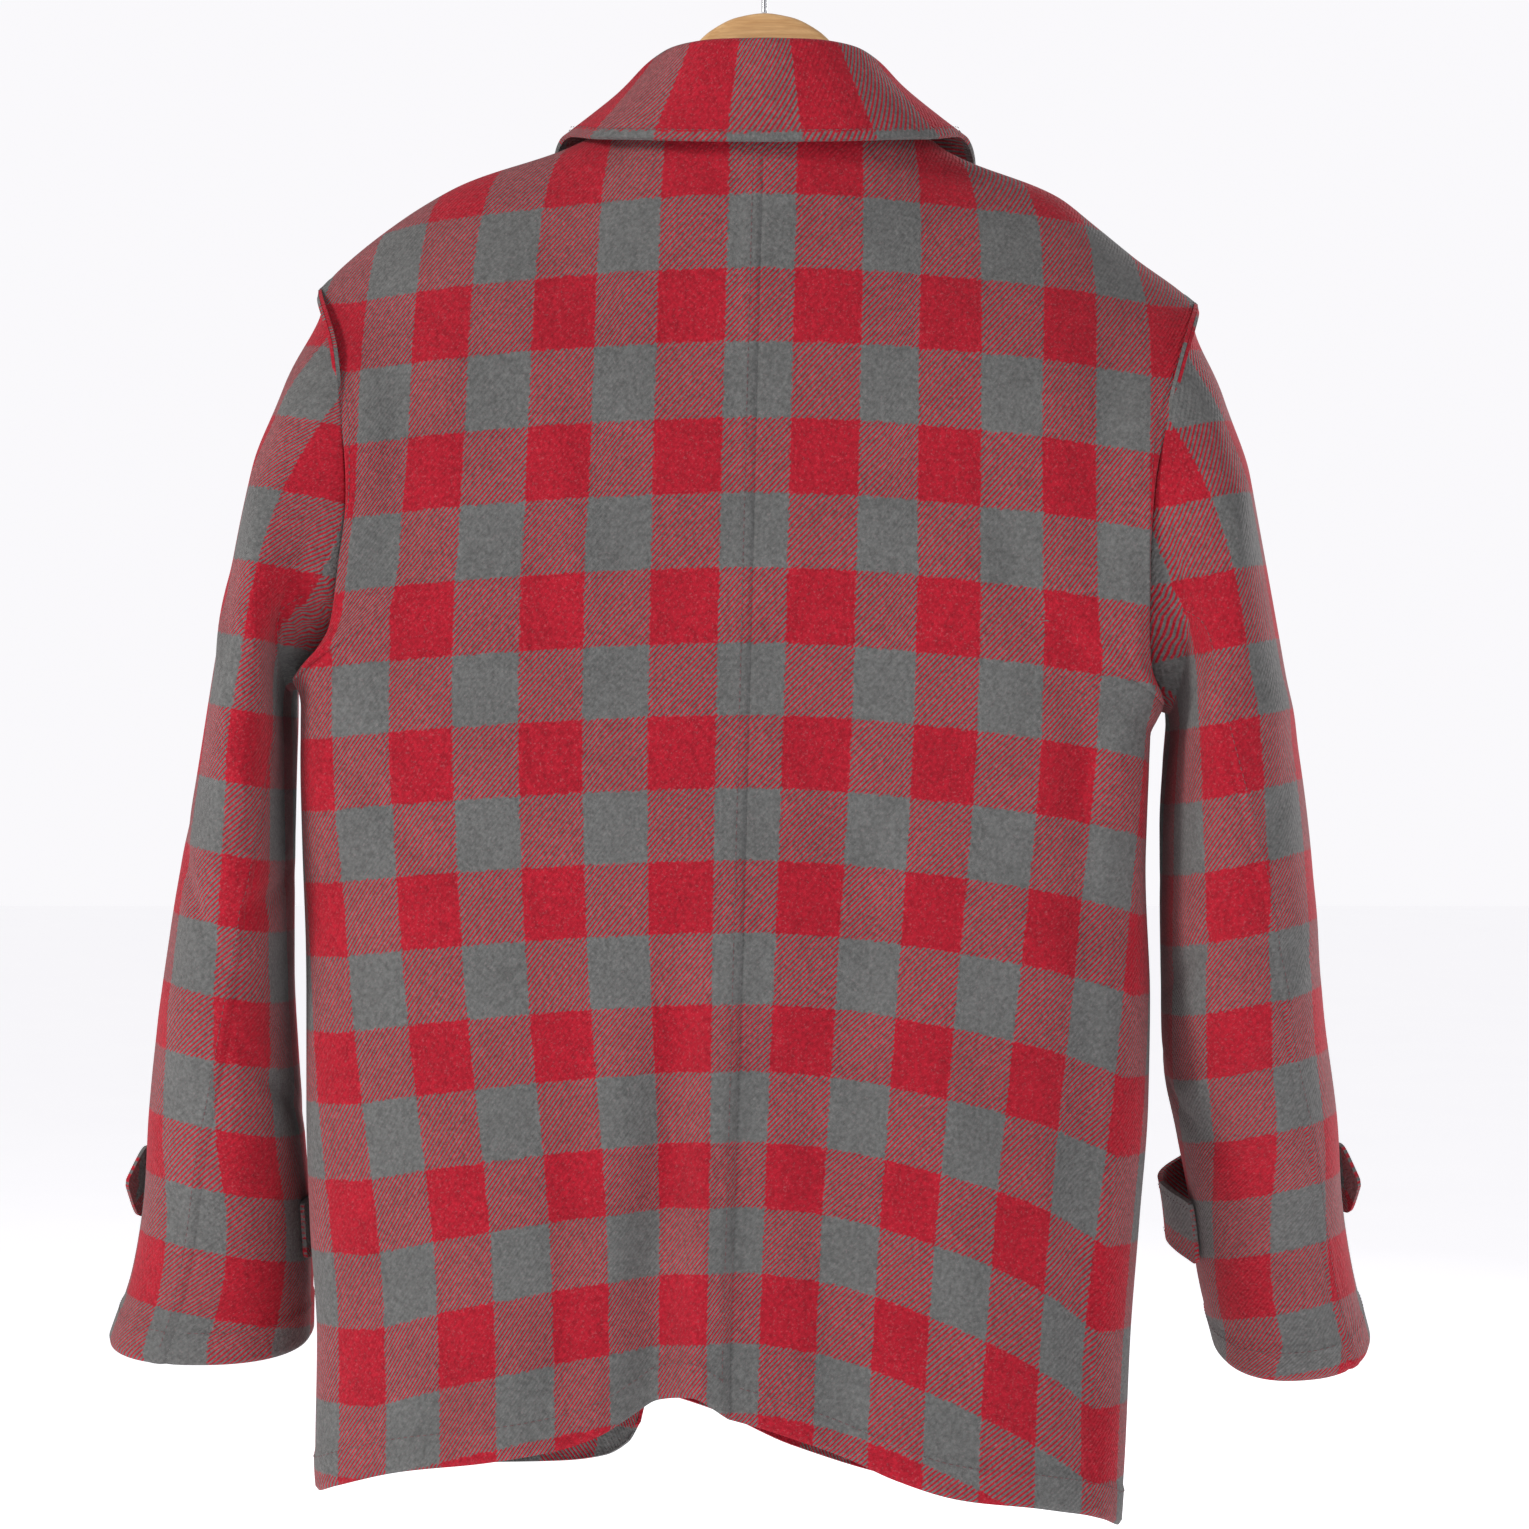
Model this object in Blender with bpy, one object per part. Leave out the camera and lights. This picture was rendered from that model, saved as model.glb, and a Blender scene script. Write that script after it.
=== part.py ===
"""A wool shirt jacket on a wooden hanger, seen by its wearer's directions.

+Z is up, the wearer's front faces -Y and the wearer's left is +X. The origin is
the inner top of the hanger's hook, where a rail along Y carries it. The tables
and constants are in millimetres and the meshes are made in metres.
"""

import math

import bmesh
import bpy
import numpy as np
from mathutils import Vector

MM = 0.001
LEFT, RIGHT = 1, -1
BACK, FRONT = 1, -1

# Driving sizes of the cloth.
CLOTH = 2.0
SEAM_GAP = 0.3
SECTION_POWER = 3.2
TIP_Z = {LEFT: -242.0, RIGHT: -250.0}
CORNER_Z = {LEFT: -914.0, RIGHT: -936.0}
# Height of the underarm, as a share of the way from the hem's corner to the shoulder tip.
UNDERARM_SHARE = 2 / 3
UNDERARM_Z = {side: CORNER_Z[side] + UNDERARM_SHARE * (TIP_Z[side] - CORNER_Z[side]) for side in TIP_Z}
SIDE_SEAM_Y = {LEFT: 14.0, RIGHT: -6.0}
ARMHOLE_DEPTH = 76.0
ARMHOLE_POWER = 2.3
NECK_SHARE = 0.32
SHOULDER_Y = -4.0

# Grid of one panel: steps across, up the side seam, and round each half armhole.
ACROSS = 8
NECK_STEPS = (0, 0.26, 0.5, 0.7, 0.87, 1)
UP_SIDE = 15
ROUND_ARM = 12

# Side outline: height, x on the wearer's left, x on the wearer's right.
OUTLINE = [
    (-240, 252, -248),
    (-282, 237, -232),
    (-321, 232, -221),
    (-365, 229, -213),
    (-400, 233, -211),
    (-435, 239, -211),
    (-450, 248, -212),
    (-458, 256, -213),
    (-466, 261, -216),
    (-472, 258, -219),
    (-479, 257, -221),
    (-486, 257, -218),
    (-495, 257, -214),
    (-560, 257, -213),
    (-640, 256, -217),
    (-700, 256, -216),
    (-766, 254, -211),
    (-830, 250, -206),
    (-896, 251, -203),
    (-940, 247, -200),
]

# Drape in depth: height, centre of the back, centre of the front.
DEPTH = [
    (-150, 44, -40),
    (-200, 52, -46),
    (-260, 64, -56),
    (-340, 77, -68),
    (-420, 84, -76),
    (-520, 88, -80),
    (-650, 90, -84),
    (-800, 91, -88),
    (-940, 92, -92),
]

# Centre back seam and centre front: height, x of the back seam, x of the front's middle.
CENTRES = [
    (-150, 0, 0),
    (-310, 4, 0),
    (-475, 8, 2),
    (-620, 12, 14),
    (-750, 16, 52),
    (-860, 19, 84),
    (-940, 20, 96),
]

CENTRE_HEM_Z = -865.0
CENTRE_NECK_Z = -150.0

# Top edge: share of the way from centre to shoulder tip, height on the left, height on the right.
SHOULDER = [
    (0.32, -143, -143),
    (0.43, -160, -164),
    (0.68, -182, -189),
    (0.82, -203, -217),
    (0.95, -229, -240),
    (1.0, -242, -250),
]

# Neckline: share of the way to the shoulder tip, back height, back depth, front height, front depth.
NECKLINE = [
    (0.0, -150, 44, -222, -42),
    (0.08, -150, 42, -220, -42),
    (0.16, -149, 35, -208, -38),
    (0.24, -147, 24, -184, -31),
    (0.29, -145, 11, -162, -19),
    (0.32, -143, -4, -143, -4),
]

# Back hem: share of the way from centre to side, height on the left, height on the right.
BACK_HEM = [
    (0.0, -865, -865),
    (0.09, -853, -871),
    (0.17, -856, -877),
    (0.22, -863, -881),
    (0.31, -875, -889),
    (0.40, -882, -898),
    (0.57, -889, -910),
    (0.78, -896, -917),
    (0.94, -907, -927),
    (1.0, -914, -936),
]

# Front hem: share of the way from the lap edge to side, height on the left, height on the right.
FRONT_HEM = [
    (0.0, -896, -872),
    (0.04, -908, -874),
    (0.12, -916, -878),
    (0.24, -919, -888),
    (0.40, -920, -910),
    (0.60, -921, -927),
    (0.85, -918, -934),
    (1.0, -914, -936),
]

# Folds: face, x at the hem, x at the start, height where it starts, height where it is full,
# half-width, depth (out is positive).
FOLDS = [
    (BACK, 61, 40, -520, -760, 17, -10),
    (BACK, 37, 22, -500, -740, 15, 8),
    (BACK, -44, -40, -440, -560, 24, -4),
    (BACK, -178, -172, -300, -400, 10, -5),
    (BACK, 150, 165, -560, -800, 34, 4),
    (FRONT, 175, 160, -500, -760, 26, -8),
    (FRONT, -95, -70, -480, -720, 24, 8),
    (FRONT, -150, -135, -520, -800, 18, -6),
]

# Shading folds that end above the hem: face, x, height of the middle, half-width, half-height, depth.
DIMPLES = [
    (BACK, -190, -350, 9, 75, -6),
    (BACK, 196, -330, 9, 60, -4),
    (BACK, -60, -600, 26, 90, -4),
    (FRONT, 188, -350, 10, 70, 5),
    (FRONT, -182, -360, 10, 70, 5),
]

# Sleeve sections, armhole to cuff: length share, outer x and z, inner x and z,
# half-depth, middle y, drop of the back edge.
SLEEVES = {
    LEFT: [
        (0.00, 252, -242, 261, -466, 76, 0, 0),
        (0.04, 265, -261, 268, -469, 80, 0, 0),
        (0.12, 279, -315, 269, -481, 85, 0, 0),
        (0.21, 291, -366, 268, -505, 88, 0, 0),
        (0.32, 305, -440, 268, -540, 88, 0, 2),
        (0.44, 319, -519, 268, -585, 82, -2, 6),
        (0.55, 331, -580, 268, -630, 76, -6, 8),
        (0.66, 342, -645, 266, -680, 70, -14, 10),
        (0.77, 350, -705, 263, -730, 64, -24, 11),
        (0.85, 354, -750, 261, -765, 57, -32, 11),
        (0.92, 362, -795, 260, -800, 54, -39, 11),
        (1.00, 377, -838, 261, -838, 52, -47, 11),
    ],
    RIGHT: [
        (0.00, -248, -250, -222, -478.667, 76, 0, 0),
        (0.04, -256, -270, -228, -482, 80, 0, 0),
        (0.12, -267, -322, -229, -494, 85, 0, 0),
        (0.21, -277, -376, -227, -514, 88, 0, 0),
        (0.32, -290, -446, -225, -548, 88, -1, 2),
        (0.44, -303, -519, -225, -588, 82, -4, 8),
        (0.55, -311, -580, -226, -630, 76, -12, 13),
        (0.66, -318, -645, -228, -678, 70, -26, 17),
        (0.77, -329, -710, -238, -725, 64, -46, 19),
        (0.85, -334, -755, -247, -766, 56, -62, 19),
        (0.92, -343, -800, -253, -806, 52, -80, 19),
        (1.00, -356, -844, -265, -850, 50, -98, 19),
    ],
}
SLEEVE_RINGS = 22
SLEEVE_POWER = 2.3
# Angle of the sleeve's seams from its outer line, by way of the back, at armhole and cuff.
BACK_SEAM = {LEFT: (165.0, 72.0), RIGHT: (120.0, 52.0)}
ARMHOLE_SEAM = 120.0
FRONT_SEAM = 240.0
UPPER_STEPS = 16
UNDER_STEPS = 8

# Front closing.
FIRST_SHARE = {BACK: 0.0, FRONT: -0.075}
LAP_STEPS = 2
LAP_OUT = CLOTH + 1.6
LAP_EASE = 55.0
BUTTON_HEIGHTS = [-252, -352, -452, -552, -652]
BUTTON_RADIUS = 11.0
BUTTON_THICK = 3.2
TAB_BUTTON_RADIUS = 9.0

# Collar, from the centre back (0) by the neck point (0.5) to its front end (1) on each side:
# fold x, y, z, then lower edge x, y, z. Its wall is two plies of cloth.
COLLAR = [
    (0.00, 0, 49, -109, 0, 58, -167),
    (0.20, 27, 45, -109, 44, 55, -166),
    (0.36, 49, 30, -110, 78, 43, -163),
    (0.46, 59, 14, -113, 100, 26, -160),
    (0.54, 66, -2, -118, 112, 2, -154),
    (0.66, 70, -20, -134, 121, -26, -170),
    (0.80, 58, -42, -166, 112, -54, -204),
    (0.92, 32, -52, -198, 88, -64, -240),
    (1.00, 14, -54, -215, 66, -68, -262),
]
COLLAR_WALL = 2.4
COLLAR_END = 0.94
COLLAR_STEPS = 34
COLLAR_FOLD = 3.6
COLLAR_CLEAR = 4.0
COLLAR_FOOT = 1.5

# Cuff tab.
TAB_WALL = 3.0
TAB_TOP, TAB_BOTTOM = 0.825, 0.893
TAB_START, TAB_LEAVE = 158.0, 318.0
TAB_STEPS = 14
TAB_LIFT = {LEFT: 4.0, RIGHT: 13.0}
TAB_REACH = 34.0
TAB_BUTTON_ANGLE = 305.0

# Hanger inside the neck: x, top z, bottom z, half-thickness. Beyond it the arms follow the shoulders.
CROWN = [
    (0, -85.5, -131, 6.5),
    (15, -87.8, -131, 6.5),
    (30, -95.2, -133, 6.5),
    (41, -106.0, -139, 6.5),
    (51, -122.0, -147, 6.0),
    (61, -139.0, -158, 5.5),
    (70, -149.0, -166, 5.0),
]
ARM_HEIGHT = (20.0, 12.0)
ARM_HALF_THICK = (5.5, 5.5)
ARM_END_SHARE = 0.95
HANGER_SIDES = 12
WIRE = 3.2
HOOK_RADIUS = 20.0
HOOK_STEM_TOP = -64.0


def smooth_column(rows, column):
    """A smooth curve through one column of a table, without overshoot, by its first column."""
    rows = sorted(rows)
    at = np.array([row[0] for row in rows], float)
    value = np.array([row[column] for row in rows], float)
    step = np.diff(at)
    slope = np.diff(value) / step
    tangent = np.zeros(len(at))
    tangent[0], tangent[-1] = slope[0], slope[-1]
    for k in range(1, len(at) - 1):
        if slope[k - 1] * slope[k] > 0:
            tangent[k] = 2 / (1 / slope[k - 1] + 1 / slope[k])

    def curve(t):
        t = np.clip(t, at[0], at[-1])
        k = np.clip(np.searchsorted(at, t) - 1, 0, len(step) - 1)
        s = (t - at[k]) / step[k]
        rise = (1 + 2 * s) * (1 - s) ** 2 * value[k] + s * s * (3 - 2 * s) * value[k + 1]
        bend = step[k] * (s * (1 - s) ** 2 * tangent[k] - s * s * (1 - s) * tangent[k + 1])
        return rise + bend

    return curve


def smoothstep(low, high, value):
    share = np.clip((value - low) / (high - low), 0, 1)
    return share * share * (3 - 2 * share)


outline = {LEFT: smooth_column(OUTLINE, 1), RIGHT: smooth_column(OUTLINE, 2)}
depth = {BACK: smooth_column(DEPTH, 1), FRONT: smooth_column(DEPTH, 2)}
centre = {BACK: smooth_column(CENTRES, 1), FRONT: smooth_column(CENTRES, 2)}
shoulder = {LEFT: smooth_column(SHOULDER, 1), RIGHT: smooth_column(SHOULDER, 2)}
neck_z = {BACK: smooth_column(NECKLINE, 1), FRONT: smooth_column(NECKLINE, 3)}
neck_y = {BACK: smooth_column(NECKLINE, 2), FRONT: smooth_column(NECKLINE, 4)}
hem = {
    (BACK, LEFT): smooth_column(BACK_HEM, 1),
    (BACK, RIGHT): smooth_column(BACK_HEM, 2),
    (FRONT, LEFT): smooth_column(FRONT_HEM, 1),
    (FRONT, RIGHT): smooth_column(FRONT_HEM, 2),
}
sleeve_column = {
    side: [smooth_column(rows, column) for column in range(1, 8)]
    for side, rows in SLEEVES.items()
}


def section_shares():
    """Shares across a half section: the neck's, then even steps along its rounded outline."""
    share = np.linspace(0, 1, 2001)
    fall = (1 - share**SECTION_POWER) ** (1 / SECTION_POWER)
    run = np.concatenate([[0], np.cumsum(np.hypot(np.diff(share), 0.38 * np.diff(fall)))])
    neck = NECK_SHARE * np.array(NECK_STEPS)
    start = np.interp(NECK_SHARE, share, run)
    outer = np.interp(np.linspace(start, run[-1], ACROSS + 1), run, share)
    return np.concatenate([neck, outer[1:]])


def top_edge(face, side, share):
    """Height and depth of the panel's top edge: the neckline, then the shoulder seam."""
    on_neck = share < NECK_SHARE
    height = np.where(on_neck, neck_z[face](share), shoulder[side](share))
    return height, np.where(on_neck, neck_y[face](share), SHOULDER_Y)


def armhole_half_depth(side, height):
    top, bottom = TIP_Z[side], UNDERARM_Z[side]
    reach = np.clip(abs(2 * (height - bottom) / (top - bottom) - 1), 0, 1)
    return ARMHOLE_DEPTH * (1 - reach**ARMHOLE_POWER) ** (1 / ARMHOLE_POWER)


def side_edge_depth(face, side, height):
    """Depth of the panel's outer edge: the side seam, and above it the armhole."""
    below = np.clip((UNDERARM_Z[side] - height) / 60.0, 0, 1)
    seam = SIDE_SEAM_Y[side] * smoothstep(0, 1, below)
    at_tip = SHOULDER_Y * smoothstep(UNDERARM_Z[side], TIP_Z[side], height)
    arm = np.where(height > UNDERARM_Z[side], armhole_half_depth(side, height), 0)
    return np.where(height > UNDERARM_Z[side], face * arm + at_tip, seam)


def panel_point(face, side, share, rise):
    """A point of the body's outer surface: share across (below 0 is the lap), rise from hem to top."""
    inside = np.clip(share, 0, 1)
    top_z, top_y = top_edge(face, side, inside)
    edge_z = CORNER_Z[side] + (TIP_Z[side] - CORNER_Z[side]) * rise
    middle = centre[face](CENTRE_HEM_Z + (CENTRE_NECK_Z - CENTRE_HEM_Z) * rise)
    across = outline[side](edge_z) - middle
    hem_z = hem[face, side]((share - FIRST_SHARE[face]) / (1 - FIRST_SHARE[face]))
    height = hem_z + (top_z - hem_z) * rise
    x = middle + across * share
    drop = np.clip((top_z - height) / 120.0, 0, 1)
    over_top = np.sqrt(1 - (1 - drop) ** 2)
    open_y = top_y + (depth[face](height) - top_y) * over_top
    edge_y = side_edge_depth(face, side, edge_z)
    power = SECTION_POWER + 4.5 * smoothstep(UNDERARM_Z[side] - 150, UNDERARM_Z[side] + 20, edge_z)
    round_off = (1 - inside**power) ** (1 / power)
    y = edge_y + (open_y - edge_y) * round_off
    y = y + folds(face, x, height) * round_off * smoothstep(0, 60, top_z - height)
    if face == FRONT and side == RIGHT:
        past_edge = (x - middle) / LAP_EASE
        y = y - LAP_OUT * smoothstep(-1.0, -0.45, past_edge)
    return np.stack([x, y, height], axis=-1)


def folds(face, x, height):
    out = 0.0
    for on, x_hem, x_start, start, full, half_width, rise in FOLDS:
        if on == face:
            down = smoothstep(-start, -full, -height)
            line = x_start + (x_hem - x_start) * smoothstep(-start, 900, -height)
            out = out + rise * down * np.exp(-(((x - line) / half_width) ** 2))
    for on, x_at, middle, half_width, half_height, rise in DIMPLES:
        if on == face:
            away = ((x - x_at) / half_width) ** 2 + ((height - middle) / half_height) ** 2
            out = out + rise * np.exp(-away)
    return out


def sleeve_point(side, angle, length):
    """A point of the sleeve's outer surface: degrees round from the outer line by way of the back."""
    outer_x, outer_z, inner_x, inner_z, half_depth, middle_y, back_drop = (
        column(length) for column in sleeve_column[side]
    )
    turn = np.radians(angle)
    power = 2 / SLEEVE_POWER
    along = np.sign(np.cos(turn)) * abs(np.cos(turn)) ** power
    away = np.sign(np.sin(turn)) * abs(np.sin(turn)) ** power
    x = (outer_x + inner_x) / 2 + (outer_x - inner_x) / 2 * along
    z = (outer_z + inner_z) / 2 + (outer_z - inner_z) / 2 * along - back_drop * away
    at_arm = 1 - smoothstep(0, 0.16, length)
    y = middle_y + half_depth * away
    arm_x = outline[side](z)
    under = smoothstep(0, 0.035, length) * np.clip(-1.6 * along, 0, 1)
    x = x + (arm_x - x) * at_arm * (1 - 0.6 * smoothstep(0, 0.09, length)) * (1 - under)
    tip_y = SHOULDER_Y * smoothstep(UNDERARM_Z[side], TIP_Z[side], z) * at_arm
    return np.stack([x, y + tip_y, z], axis=-1)


def grid_normals(points, turn):
    """Unit normals of a grid of surface points, from the neighbours of each."""
    normal = np.cross(np.gradient(points, axis=1), np.gradient(points, axis=0))
    return turn * normal / np.linalg.norm(normal, axis=-1, keepdims=True)


class Panel:
    """One cut piece as a grid of outer points with their normals."""

    def __init__(self, name, points, normals, material):
        self.name = name
        self.points = points
        self.normals = normals
        self.material = material

    def border(self):
        rows, columns = self.points.shape[:2]
        for i in range(rows):
            for j in range(columns):
                if i in (0, rows - 1) or j in (0, columns - 1):
                    yield i, j


def share_normals(panels):
    """Gives panels that meet at a seam one normal there, so that their walls are mitred."""
    users = [(panel, i, j) for panel in panels for i, j in panel.border()]
    places = np.array([panel.points[i, j] for panel, i, j in users])
    normals = np.array([panel.normals[i, j] for panel, i, j in users])
    for k, (panel, i, j) in enumerate(users):
        near = np.linalg.norm(places - places[k], axis=1) < SEAM_GAP / 2
        total = normals[near].sum(axis=0)
        size = np.linalg.norm(total)
        if size > 0.02:
            panel.normals[i, j] = total / size


def inset(points):
    """Moves a grid's border half a seam gap towards its inside."""
    moved = points.copy()
    for axis in (0, 1):
        lines = np.moveaxis(moved, axis, 0)
        for edge, inner in ((0, 1), (-1, -2)):
            way = lines[inner] - lines[edge]
            size = np.maximum(np.linalg.norm(way, axis=-1, keepdims=True), 1e-6)
            lines[edge] += way / size * (SEAM_GAP / 2 + 0.03)
    return moved


def add_object(name, vertices, faces, material, flat=False):
    mesh = bpy.data.meshes.new(name)
    mesh.from_pydata([tuple(v) for v in np.asarray(vertices) * MM], [], faces)
    shape = bmesh.new()
    shape.from_mesh(mesh)
    bmesh.ops.recalc_face_normals(shape, faces=shape.faces)
    shape.to_mesh(mesh)
    shape.free()
    if not flat:
        mesh.shade_smooth()
        mesh.set_sharp_from_angle(angle=math.radians(40))
    mesh.materials.append(material)
    piece = bpy.data.objects.new(name, mesh)
    bpy.context.scene.collection.objects.link(piece)
    return piece


def slab(name, outer, inner, material):
    """A closed wall between two grids of points."""
    rows, columns = outer.shape[:2]
    count = rows * columns
    faces = []
    for i in range(rows - 1):
        for j in range(columns - 1):
            a, b = i * columns + j, i * columns + j + 1
            c, d = b + columns, a + columns
            faces.append((a, b, c, d))
            faces.append((count + a, count + d, count + c, count + b))
    last = (rows - 1) * columns
    edges = []
    for j in range(columns - 1):
        edges += [(j, j + 1), (last + j, last + j + 1)]
    for i in range(rows - 1):
        a, b = i * columns, (i + 1) * columns
        edges += [(a, b), (a + columns - 1, b + columns - 1)]
    height = outer.reshape(-1, 3)[:, 2]
    for a, b in edges:
        # The diagonal runs from the higher outer point, so rims that meet have the same triangles.
        high, low = (a, b) if height[a] > height[b] else (b, a)
        faces += [(high, low, count + low), (high, count + low, count + high)]
    vertices = np.concatenate([outer.reshape(-1, 3), inner.reshape(-1, 3)])
    return add_object(name, vertices, faces, material)


def rises():
    """Row heights of a body panel, as shares from hem corner to shoulder tip."""
    under = UNDERARM_SHARE
    below = under * (1 - (1 - np.linspace(0, 1, UP_SIDE + 1)[:-1]) ** 1.25)
    angles = np.linspace(180, 0, ROUND_ARM + 1)
    turn = np.cos(np.radians(angles))
    reach = np.sign(turn) * abs(turn) ** (2 / ARMHOLE_POWER)
    arm = under + (1 - under) * (reach + 1) / 2
    return np.concatenate([below, arm])


def body_panel(face, side, material):
    shares = section_shares()
    if face == FRONT:
        lap = np.linspace(FIRST_SHARE[FRONT], 0, LAP_STEPS + 1)[:-1]
        shares = np.concatenate([lap, shares])
    share, rise = np.meshgrid(shares, rises())
    name = ("back" if face == BACK else "front") + ("_left" if side == LEFT else "_right")
    points = panel_point(face, side, share, rise)
    return Panel(name, points, grid_normals(points, -face * side), material)


def back_seam_angle(side, length):
    start, end = BACK_SEAM[side]
    seam = start + (end - start) * smoothstep(-0.2, 1.1, length)
    return ARMHOLE_SEAM + (seam - ARMHOLE_SEAM) * smoothstep(0, 0.12, length)


def sleeve_panel(side, part, material):
    """One of the sleeve's two pieces, its grid running from the armhole to the cuff."""
    ring = np.linspace(0, 1, SLEEVE_RINGS + 1) ** 1.15
    steps = UPPER_STEPS if part == "upper" else UNDER_STEPS
    share, length = np.meshgrid(np.linspace(0, 1, steps + 1), ring)
    seam = back_seam_angle(side, length)
    if part == "upper":
        angle = FRONT_SEAM - 360 + (seam - FRONT_SEAM + 360) * share
    else:
        angle = seam + (FRONT_SEAM - seam) * share
    name = "sleeve_" + ("left_" if side == LEFT else "right_") + part
    points = sleeve_point(side, angle, length)
    return Panel(name, points, grid_normals(points, -side), material)


def neckline(side):
    """The panels' top edge at the neck, from the centre back (0) by the neck point to the front (1)."""
    shares = NECK_SHARE * np.array(NECK_STEPS)
    places, points = [], []
    for face in (BACK, FRONT):
        for share in shares if face == BACK else shares[-2::-1]:
            part = 0.5 * share / NECK_SHARE
            places.append(part if face == BACK else 1 - part)
            points.append(panel_point(face, side, np.array(share), np.array(1.0)))
    return np.array(places), np.array(points)


def surface_depth(face, side, x, height):
    """Depth of the body's outer surface where it passes through x at this height."""
    rise = 0.9
    for _ in range(8):
        edge_z = CORNER_Z[side] + (TIP_Z[side] - CORNER_Z[side]) * rise
        middle = centre[face](CENTRE_HEM_Z + (CENTRE_NECK_Z - CENTRE_HEM_Z) * rise)
        share = np.clip((x - middle) / (outline[side](edge_z) - middle), 0, 0.95)
        low, top = hem[face, side](share), top_edge(face, side, share)[0]
        rise = np.clip((height - low) / (top - low), 0, 1)
    return float(panel_point(face, side, np.array(share), np.array(rise))[1])


def collar(material):
    """The collar: a stand rises from the neckline and folds over into the fall."""
    column = [smooth_column(COLLAR, k) for k in range(1, 7)]
    lines = []
    neck = {side: neckline(side) for side in (LEFT, RIGHT)}
    for place in np.linspace(-COLLAR_END, COLLAR_END, COLLAR_STEPS + 1):
        side = LEFT if place > 0 else RIGHT
        along = abs(place)
        mirror = np.array([side, 1, 1])
        fold = np.array([column[k](along) for k in range(3)]) * mirror
        edge = np.array([column[k](along) for k in range(3, 6)]) * mirror
        at, points = neck[side]
        foot = np.array([np.interp(along, at, points[:, k]) for k in range(3)])
        k = min(np.searchsorted(at, along, side="right"), len(at) - 1)
        seam = (points[k] - points[k - 1]) / np.linalg.norm(points[k] - points[k - 1])
        outward = (edge - foot) * np.array([1, 1, 0])
        outward /= np.linalg.norm(outward)
        up = np.array([0, 0, 1])
        stand_top = fold - outward * COLLAR_FOLD - up * COLLAR_FOLD
        fall_top = fold + outward * COLLAR_FOLD - up * COLLAR_FOLD
        away = stand_top - foot
        away -= seam * (away @ seam)
        foot = foot + away * COLLAR_FOOT / np.linalg.norm(away)
        line = [foot + (stand_top - foot) * t for t in np.linspace(0, 1, 4)]
        for turn in np.radians([45, 90, 135]):
            line.append(fold + COLLAR_FOLD * (math.sin(turn) * up - math.cos(turn) * outward - up))
        for t in np.linspace(0, 1, 5):
            point = fall_top + (edge - fall_top) * t
            for face in (BACK, FRONT):
                if face * (point[1] - SHOULDER_Y) > 0:
                    under = surface_depth(face, side, point[0], point[2])
                    point[1] = face * max(face * point[1], face * under + COLLAR_CLEAR)
            line.append(point)
        lines.append(line)
    middle = np.array(lines)
    along_collar = np.gradient(middle, axis=0)
    across = np.gradient(middle, axis=1)
    normals = np.cross(along_collar, across)
    normals /= np.linalg.norm(normals, axis=-1, keepdims=True)
    half = normals * COLLAR_WALL / 2
    return slab("collar", middle + half, middle - half, material)


def tab_surface(side, angle, length, lift):
    """A point lifted off the sleeve, with the sleeve's outward direction there."""
    step = 0.5
    around = sleeve_point(side, angle + step, length) - sleeve_point(side, angle - step, length)
    down = sleeve_point(side, angle, length + 0.01) - sleeve_point(side, angle, length - 0.01)
    normal = -side * np.cross(around, down)
    normal /= np.linalg.norm(normal)
    return sleeve_point(side, angle, length) + normal * lift, normal


def tab_lift(side, angle):
    bump = math.exp(-(((angle - 192) / 20) ** 2))
    return SEAM_GAP + 0.5 + TAB_LIFT[side] * bump


def cuff_tab(side, material):
    """The tab: sewn on behind, standing off the inner side, round the front, its point outside."""
    rows = np.linspace(TAB_TOP, TAB_BOTTOM, 5)
    inner = []
    normals = []
    for angle in np.linspace(TAB_START, TAB_LEAVE, TAB_STEPS + 1):
        pairs = [tab_surface(side, angle, row, tab_lift(side, angle)) for row in rows]
        inner.append([pair[0] for pair in pairs])
        normals.append([pair[1] for pair in pairs])
    inner, normals = np.array(inner), np.array(normals)
    way = (inner[-1] - inner[-2]).mean(axis=0)
    way /= np.linalg.norm(way)
    middle = inner[-1].mean(axis=0)
    for reach, narrow in ((0.4, 1.0), (0.72, 1.0), (1.0, 0.16)):
        column = middle + (inner[TAB_STEPS] - middle) * narrow + way * TAB_REACH * reach
        inner = np.concatenate([inner, column[None]])
        normals = np.concatenate([normals, normals[TAB_STEPS][None]])
    name = "cuff_tab_left" if side == LEFT else "cuff_tab_right"
    return slab(name, inner + normals * TAB_WALL, inner, material)


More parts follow.
